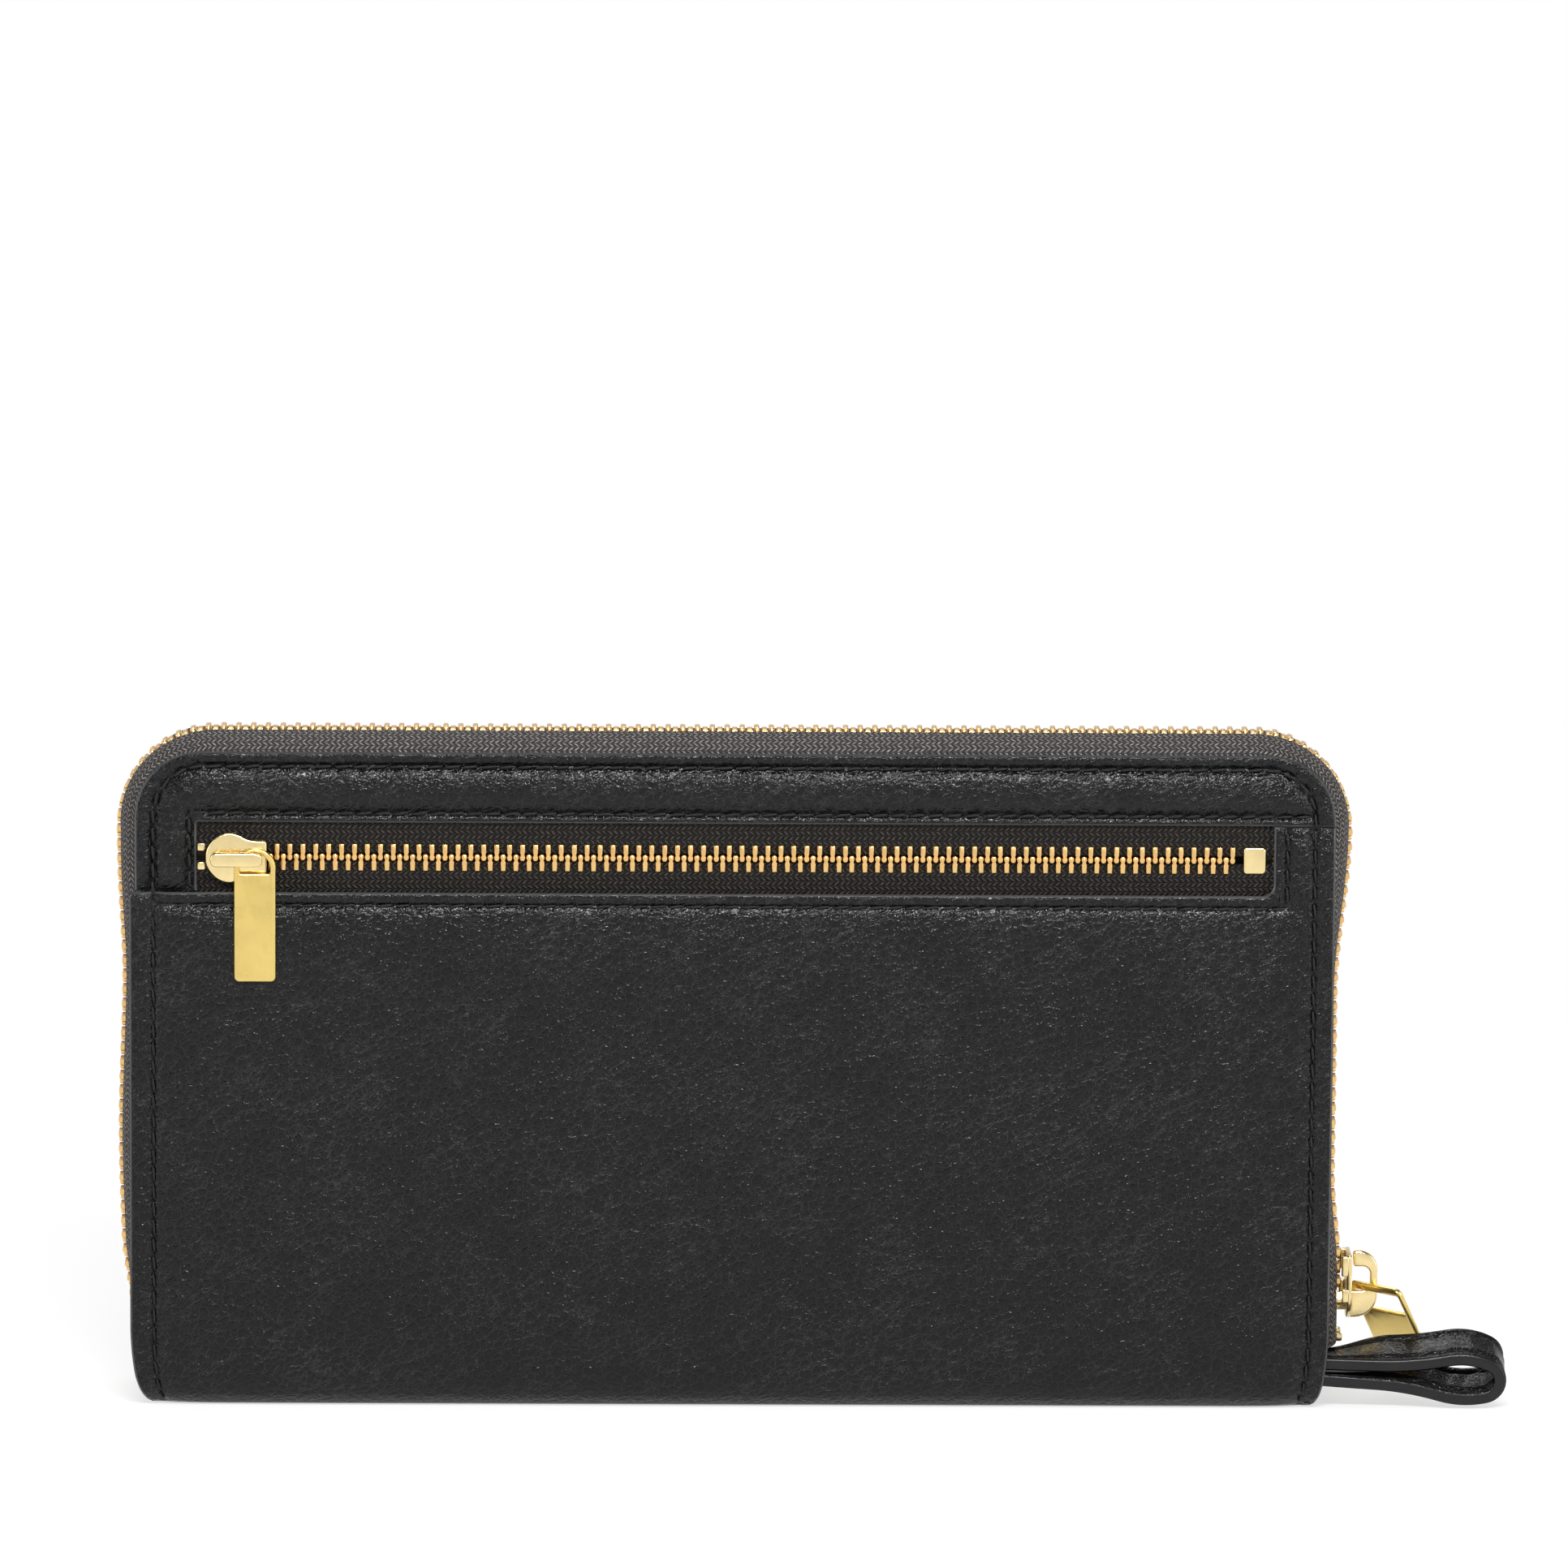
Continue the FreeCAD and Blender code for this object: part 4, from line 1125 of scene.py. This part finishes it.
# %% Main slider's tab
TAB_WIDE, TAB_LONG, TAB_ARM, TAB_BAR, TAB_HOLE, TAB_THICK = 10.8, 15.0, 0.8, 1.3, 4.0, 0.8
near_x = -TAB_ARM - (1.0 + TAB_THICK) * 0.7
far_x, top_y = near_x + TAB_WIDE, TAB_BAR / 2
hole_top = top_y - TAB_BAR
outer = rectangle(near_x, top_y - TAB_LONG, far_x, top_y, 1.0, 1.1)
inner = rectangle(near_x + TAB_ARM, hole_top - TAB_HOLE, far_x - TAB_ARM, hole_top, 0.4, 0.3)
tab = slab(outer, -TAB_THICK / 2, TAB_THICK / 2, 0.24, hole=inner, rounds=3)
turn, lean = math.radians(45), math.radians(32)
along_bar = Vector((math.sin(turn), -math.cos(turn), 0))
seat = Vector((ZIP_HALF - MAIN_THICK / 2 + plate + HOOK_WINDOW / 2, 0,
               MAIN_SLIDER_Z - MAIN_SLIDER_LENGTH / 2 + HOOK_FOOT + PULL_PLAY + TAB_BAR / 2))
hanging = standing(along_bar, along_bar.cross(Vector((0, 0, 1))), seat) @ Matrix.Rotation(lean, 4, "X")
metal("main_tab", placed(tab, hanging), "pull_tab", "main_pull", pull_gold)

# %% [markdown]
# ## Wrist loop
#
# The loop is one strap of leather, folded over on itself so that both ends leave the cover's edge together. Its
# cut sides are thick with edge paint, and a stitch line runs along each side. It starts as a flat grid with a
# thickness and rounded edges, and is then laid along its drop-shaped path. It leaves the cover level and rolls a
# little as it goes, as a hanging strap does.

# %% Wrist loop
STRAP_FRONT, STRAP_WIDE, STRAP_THICK, STRAP_SEAM = -10.8, 8.2, 2.0, 1.5
strap_line = rounded_line([
    (92.0, 7.5, 0), (108.2, 6.9, 5.0), (118.4, 8.5, 3.4), (123.3, 6.1, 1.95), (122.6, 2.3, 1.9), (116.9, 1.2, 3.6),
    (108.2, 3.65, 4.8), (92.0, 4.95, 0)], 10)
STRAP_LONG = length_of(strap_line)


def lay_strap(along, across, height):
    (x, z), out = along_section(strap_line, along)
    x, z = x + out.x * height, z + out.y * height
    roll = math.radians(19) * soft((x - 95) / 11)
    return Vector((x, STRAP_FRONT + across * math.cos(roll), z + across * math.sin(roll)))


bm = bmesh.new()
bmesh.ops.create_grid(bm, x_segments=120, y_segments=28, size=0.5)
bmesh.ops.scale(bm, vec=(STRAP_LONG, STRAP_WIDE, 1), verts=bm.verts)
bmesh.ops.translate(bm, vec=(STRAP_LONG / 2, STRAP_WIDE / 2, STRAP_THICK / 2), verts=bm.verts)
bmesh.ops.solidify(bm, geom=bm.faces[:], thickness=STRAP_THICK)
bmesh.ops.recalc_face_normals(bm, faces=bm.faces)
for face in bm.faces:
    face.material_index = 1 if abs(face.normal.y) > 0.5 else 0
sides = [edge for edge in bm.edges
         if edge.calc_face_angle(0) > 1 and abs(edge.verts[0].co.x - edge.verts[1].co.x) > 0.01]
bevelled(bm, sides, 0.55, 3)
for vert in bm.verts:
    along, across, height = vert.co
    side = min(across, STRAP_WIDE - across)
    dip = 0.55 * math.exp(-((side - STRAP_SEAM) / 0.5) ** 2) - 0.12 * math.exp(-((side - 4.1) / 2.2) ** 2)
    bump = 0.10 * math.sin(along * 1.9 + across * 0.4) * soft((side - 0.5) / 2) * math.exp(-((along - 33) / 16) ** 2)
    vert.co = lay_strap(along, across, height - math.copysign(dip, height) * (abs(height) > 0.9) + bump)
bmesh.ops.recalc_face_normals(bm, faces=bm.faces)
piece("strap_loop", bm, "back_cover", [strap_leather, strap_paint], ["wrist_loop"])
strap_seams = [straight((1.0, side), (STRAP_LONG - 1.0, side)) for side in (STRAP_SEAM, STRAP_WIDE - STRAP_SEAM)]
for name, face in (("strap_stitching", 1), ("strap_inner_stitching", -1)):
    def lay_thread(u, v, height, face=face):
        return lay_strap(u, v, face * (height + 0.98))

    stitching(name, strap_seams, lay_thread, "back_cover", sunk=-0.55)

# %% [markdown]
# ## Front cover
#
# The front is one plain panel that also makes the spine's front edge. Its lowest part belongs to the fold.

# %% Front cover
leather_part("front_leather", [
    (FOOT_HALF, FOLD - ARC, 0), (HALF - 0.75, 3.6, 2.6), (HALF, 10.0, 3.0), (HALF, TOP, CORNER),
    (-HALF, TOP, CORNER), (-HALF, 10.0, 3.0), (-HALF + 0.75, 3.6, 2.6), (-FOOT_HALF, FOLD - ARC, 0),
], [front_seam], lay_front, ("back_cover", "front_cover", (0, FOLD_Y * MM, 0), (0, FACE * MM, FOLD * MM)),
    ["front_panel_leather", "front_fold_leather"], flat_end=FOLD - ARC)
front_line = [spot for spot in front_seam if spot.y > FOLD + 1]
stitching("front_stitching", [front_line], lay_front, "front_cover", sunk=THREAD_SINK)

# %% [markdown]
# ## Lining and card pockets
#
# Inside, each cover has a lining and four card pockets. A pocket is a thin leather panel whose top edge is turned
# over and stitched, and one seam down the middle divides every pocket in two. The panels lie on each other like
# steps, each a little lower than the one behind it.


# %% Inner panels
def inner_panel(name, node, side, finish, hem=0.0, radius=0.0, seams=(), stitched=()):
    """A thin panel on an inner face; the top edge of a card pocket is turned over by hem millimetres."""
    low, high = span(node)
    face = min(abs(low.y), abs(high.y))

    def lay(u, v, height):
        return Vector((u, side * (face - height), v))

    def turned_edge(u, v):
        return 0.1 * soft((v - high.z + hem + 0.4) / 0.5) if hem else 0.0

    body = "back_cover" if side < 0 else "front_cover"
    leather_part(name, rectangle(low.x, low.z, high.x, high.z, 0, radius), seams, lay, body, [node], turned_edge,
                 spacing=4.5, finish=finish, thick=high.y - low.y, swell=0.05, trough=0.1, roll=0.15)
    if stitched:
        stitching(name + "_stitching", stitched, lay, body, 0.0, 2.5, 0.62)


HEM, HEM_SEAM, CARD_HALF = 3.6, 3.4, 88.0
for name, side in COVERS:
    inner_panel(f"{name}_inner_lining", f"{name}_lining", side, lining_weave, radius=8.0)
    for n in range(1, 5):
        node = f"{name}_card_panel_{n}"
        top = span(node)[1].z
        hem_seam = straight((-CARD_HALF, top - HEM_SEAM), (CARD_HALF, top - HEM_SEAM))
        inner_panel(f"{name}_card_pocket_{n}", node, side, inner_leather, HEM, 0.8,
                    [hem_seam, straight((0, 6.5), (0, top - HEM_SEAM))],
                    [hem_seam, straight((0, top - 12.2), (0, top - 3.9))])

# %% [markdown]
# ## Coin divider
#
# A zipped coin pocket divides the wallet's middle. Its wall is one piece of leather, folded round at the bottom,
# and a narrow facing closes it above the zip. The zip has a nylon coil instead of metal teeth: a spring of many
# small loops, each of which is copied from one stretched ball.

# %% Divider walls
wall_low, wall_high = span("coin_pocket_wall")
facing_low, facing_high = span("coin_pocket_facing")
DIVIDER_R = wall_high.y
AXIS_Z = wall_low.z + DIVIDER_R
TURN_LONG = DIVIDER_R * math.pi / 2
MOUTH = facing_low.z - 6.0


def lay_divider(u, v, height):
    radius = DIVIDER_R + height
    if abs(v) < TURN_LONG:
        turn = v / DIVIDER_R
        return Vector((u, radius * math.sin(turn), AXIS_Z - radius * math.cos(turn)))
    return Vector((u, math.copysign(radius, v), AXIS_Z + abs(v) - TURN_LONG))


reach = wall_high.x
rear_top, near_top = -(wall_high.z - AXIS_Z + TURN_LONG), MOUTH - AXIS_Z + TURN_LONG


def lay_facing(u, v, height):
    return Vector((u, facing_high.y + height, v))


def divider_part(name, thread_name, corners, seams, lay, node):
    leather_part(name, corners, seams, lay, "coin_divider", [node], spacing=4.5, finish=inner_leather, thick=0.6,
                 swell=0.12, trough=0.14, roll=0.25)
    stitching(thread_name, seams, lay, "coin_divider", -0.06, 2.5, 0.66)


sides = [straight((x, rear_top + 1.5), (x, near_top - 1.5)) for x in (-reach + 2.5, reach - 2.5)]
hems = [straight((-reach + 3, y), (reach - 3, y)) for y in (rear_top + 2.0, near_top - 1.8, facing_low.z + 1.6)]
divider_part("divider_wall", "divider_stitching",
             [(-reach, rear_top, 1.5), (reach, rear_top, 1.5), (reach, near_top, 0), (-reach, near_top, 0)],
             sides + hems[:2], lay_divider, "coin_pocket_wall")
divider_part("divider_facing", "facing_stitching", rectangle(-reach, facing_low.z, reach, facing_high.z, 0, 1.5),
             hems[2:], lay_facing, "coin_pocket_facing")

# %% [markdown]
# ## The coin pocket's zip
#
# The coil is one long nylon spring on each tape, pressed flat. A helix swept along a curve would be true to it, but
# from outside only two rows of slanted loops show. Stretched balls look the same and have far fewer faces.

# %% Coin zip
COIL_PITCH, COIL_LAP = 1.15, 0.6
coin_tape = span("coin_zip_tape_upper")
COIL_TAPE = coin_tape[1].y - coin_tape[0].y
coil_box = span("coin_zip_coil_lower")
COIL_Y, COIL_MID = (coil_box[0].y + coil_box[1].y) / 2, (MOUTH + facing_low.z) / 2
for name, way in (("upper", 1), ("lower", -1)):
    small_tape("coin", name, way, "coin_divider", COIL_LAP, COIL_TAPE, 0.0, 4.0, 5)
    first, last = (corner.x for corner in span(f"coin_zip_coil_{name}"))
    loop = bmesh.new()
    bmesh.ops.create_uvsphere(loop, u_segments=8, v_segments=6, radius=0.5)
    bmesh.ops.scale(loop, vec=(0.86, 2.15, 1.25), verts=loop.verts)
    shift, lean = (0.75 if way > 0 else 0.25), Matrix.Rotation(0.16 * way, 4, "Z")
    spots = [standing((1, 0, 0), (0, 1, 0), (first + (n + shift) * COIL_PITCH, COIL_Y, COIL_MID + way * 0.85)) @ lean
             for n in range(int((last - first) / COIL_PITCH))]
    piece(f"coin_coil_{name}", repeated(loop, spots), "coin_divider", [coil_nylon],
          [f"coin_zip_coil_{name}"])

# %% [markdown]
# ## The coin pocket's slider
#
# This is the outer pocket's slider again, a size smaller. It faces the other way, so it is mirrored.

# %% Coin slider and its pull
small_slider("coin", (5.8, 5.2, 1.2), hanging_pull(5.2, 13.0, 2.6, edge=0.2), (0, 1, 0), (COIL_Y, COIL_MID), -1)

# %% [markdown]
# ## Gussets
#
# Four folded strips of thin leather join the divider's ends to the covers. They fold inwards like a bellows when
# the wallet is shut, and draw straight when it opens. Each is a flat strip laid along a V with a soft fold. The
# divider turns half as far as the front cover.

# %% Gussets
SEAM_PLAY = 0.15                     # the front ones stop this far outside the divider's side
for name, side, bodies in (("back", -1, ("back_cover", "coin_divider")), ("front", 1, ("back_cover", "front_cover"))):
    for end, way in (("left", -1), ("right", 1)):
        node = f"gusset_{name}_{end}"
        low, high = span(node)
        inner_y, outer_y = sorted((abs(low.y), abs(high.y)))
        fold_x, seam_x = sorted((abs(low.x), abs(high.x)))
        route = rounded_line([(seam_x, outer_y - 0.1, 0), (seam_x - 5, outer_y - 0.2, 2.0),
                              (fold_x, (inner_y + outer_y) / 2, 0.7),
                              (seam_x - 5, inner_y + 0.2, 2.0), (seam_x, inner_y + 0.1, 0)], 5)
        long = length_of(route)

        def lay_gusset(along, across, height, route=route, long=long, side=side, way=way, low=low):
            (x, y), out = along_section(route, along)
            wave = 0.15 * math.sin(across * 0.17) * math.sin(along / long * math.pi)
            return Vector((way * (x + out.x * height + wave), side * (y + out.y * height), low.z + across))

        seam_from = -outer_y + 2 * (inner_y - SEAM_PLAY) if side > 0 else -outer_y
        start, finish = (0, seam_from * MM, 0), (0, (outer_y if side > 0 else -inner_y) * MM, 0)
        piece(f"{name}_gusset_{end}", ribbon(long, high.z - low.z, 0.4, lay_gusset, 1.2, 26),
              (*bodies, start, finish), [inner_leather], [node])

# %% [markdown]
# ## Spine lining and hidden layers
#
# A strip of lining covers the spine inside. Boards, foam and the cloth bag of the outer pocket hardly show, so
# their CAD solids stay, each with a finish of its own.

# %% Spine lining and hidden layers
low, high = span("spine_lining")
spine_top = high.z
leather_part("spine_lining_strip", rectangle(low.x, low.y, high.x, high.y, 0.5, 0.5), [],
             lambda u, v, height: Vector((u, v, spine_top + height)), "back_cover", ["spine_lining"], spacing=3.0,
             finish=lining_weave, thick=high.z - low.z, swell=0.0, roll=0.15)


def plain_cloth(name, dark, light, size, relief):
    finish = Finish(name)
    spot = finish.place()
    grain = finish.noise(spot, size, 3.0)
    cross = finish.noise(finish.stretched(spot, 0.0, (1, 1, 6)), size, 2.0)
    shade = finish.tint(grain * 0.6 + cross * 0.4, dark, light)
    return finish.done(shade, 0.8, grain + cross, relief, level=0.25)


board = plain_cloth("pressed_fibre", (0.20, 0.15, 0.10), (0.34, 0.26, 0.18), size=0.5, relief=0.05)
foam = plain_cloth("soft_foam", (0.05, 0.05, 0.05), (0.09, 0.09, 0.09), size=0.4, relief=0.1)
twill = plain_cloth("bag_twill", (0.012, 0.011, 0.010), (0.035, 0.032, 0.030), size=0.3, relief=0.06)
for finish, nodes in ((board, ["back_board", "front_board"]), (foam, ["front_foam"]), (twill, ["pocket_bag"])):
    for node in nodes:
        layer = bpy.data.objects[node]
        for holder in layer.material_slots:
            holder.material = finish
        print(f"{node} keeps its solid, in {finish.name}")

# %% [markdown]
# ## Camera
#
# The wallet is seen from far away and slightly from above, square to its back. A long lens keeps the verticals
# parallel, and the view is rolled by less than half a degree.

# %% Camera
AIM = Vector((7.7, -6.0, 100.5)) * MM
DISTANCE = 1.907
SENSOR, FOCAL_LENGTH = 36.0, 275.3292
FAR_CLIP = 20.0
AZIMUTH, ELEVATION, VIEW_ROLL = math.radians(-0.8), math.radians(10.0), math.radians(0.38)
back_ray = Vector((math.sin(AZIMUTH) * math.cos(ELEVATION), -math.cos(AZIMUTH) * math.cos(ELEVATION),
                   math.sin(ELEVATION)))
lens = bpy.data.cameras.new("camera")
lens.sensor_width, lens.lens, lens.clip_end = SENSOR, FOCAL_LENGTH, FAR_CLIP
camera = bpy.data.objects.new("camera", lens)
facing = back_ray.to_track_quat("Z", "Y").to_matrix() @ Matrix.Rotation(VIEW_ROLL, 3, "Z")
camera.matrix_world = Matrix.Translation(AIM + back_ray * DISTANCE) @ facing.to_4x4()
bpy.context.collection.objects.link(camera)
bpy.context.scene.camera = camera
bpy.context.scene.view_settings.view_transform = "Standard"

# %% [markdown]
# ## Light
#
# A dark object needs long, soft reflections to show its form. The key is a long soft box high in front, which
# draws the grain on the padded strip. One box behind and one at each side keep the outline clear. Point lamps
# would leave small hard glints instead.


# %% Light
CENTRE = Vector((0.0, 0.0, 0.06))


def soft_box(name, spot, wide, high, power):
    """An area lamp turned to the wallet's middle, in metres and watts."""
    lamp = bpy.data.lights.new(name, "AREA")
    lamp.shape, lamp.size, lamp.size_y, lamp.energy = "RECTANGLE", wide, high, power
    made = bpy.data.objects.new(name, lamp)
    made.location = spot
    made.rotation_euler = (Vector(spot) - CENTRE).to_track_quat("Z", "Y").to_euler()
    bpy.context.collection.objects.link(made)


soft_box("key_box", (0.05, -0.62, 0.60), 0.55, 0.08, 8.0)
soft_box("back_box", (-0.1, 0.42, 0.62), 0.7, 0.3, 2.6)
soft_box("side_box", (0.75, -0.30, 0.30), 0.3, 0.5, 2.0)
soft_box("left_box", (-0.75, -0.25, 0.30), 0.3, 0.5, 1.4)

# %% [markdown]
# ## Surrounding
#
# A plain white world would light the leather grey. This one is white only for rays that come straight from the
# camera or from a mirror-like surface; as a light it stays a moderate grey. Its ceiling is darker in mirrors, so
# that metal and grain have something to show.

# %% Surrounding
PLAIN_LIGHT, CEILING_DIM = 0.42, 0.82
sky = bpy.data.worlds.new("surrounding")
sky.use_nodes = True
bpy.context.scene.world = sky
studio = Finish("studio_plan")
studio.tree = sky.node_tree
studio.tree.nodes.clear()
seen = studio.ray("Camera")
mirrored = studio.ray("Glossy").math("MAXIMUM", studio.ray("Transmission"))
upward = studio.add("ShaderNodeSeparateXYZ", {}, {0: studio.place("Generated")}, give=2)
ceiling = upward.between(0.16, 0.5)
plain = PLAIN_LIGHT * (1 - seen) * (1 - mirrored)
strength = seen + (1 - seen) * mirrored * (1 - ceiling * CEILING_DIM) + plain
glow = studio.add("ShaderNodeBackground", {}, {"Strength": strength})
studio.add("ShaderNodeOutputWorld", {}, {"Surface": glow})
bpy.data.materials.remove(studio.material)

# %% [markdown]
# ## Floor
#
# A pale plain floor takes the contact shadow. Close to the wallet it is lit paper. Further out, rays from the
# camera and mirrored rays find it plain white, so the floor and the surrounding meet without a line.

# %% Floor
FLOOR_RADIUS = 7.0                   # metres
PAPER_END, WHITE_START = 110.0, 420.0
bm = bmesh.new()
bmesh.ops.create_circle(bm, cap_ends=True, radius=FLOOR_RADIUS, segments=64)
floor_mesh = bpy.data.meshes.new("floor")
bm.to_mesh(floor_mesh)
bm.free()
floor = bpy.data.objects.new("floor", floor_mesh)
bpy.context.collection.objects.link(floor)

paper = Finish("floor_paper")
spot = paper.place()
shade = paper.tint(paper.noise(spot, 300.0), (0.93, 0.93, 0.93), (0.96, 0.96, 0.96))
lit = paper.add("ShaderNodeBsdfPrincipled", {}, {"Base Color": shade, "Roughness": 0.9, "Specular IOR Level": 0.1})
white = paper.add("ShaderNodeEmission", {}, {"Color": (1, 1, 1, 1), "Strength": 1.0})
away = paper.add("ShaderNodeVectorMath", {"operation": "LENGTH"}, {0: spot}, give=1).between(PAPER_END, WHITE_START)
direct = paper.ray("Camera").math("MAXIMUM", paper.ray("Glossy"))
share = direct * (away * 0.34 + 0.66)
mixed = paper.add("ShaderNodeMixShader", {}, {0: share, 1: lit, 2: white})
paper.add("ShaderNodeOutputMaterial", {}, {"Surface": mixed})
floor_mesh.materials.append(paper.material)
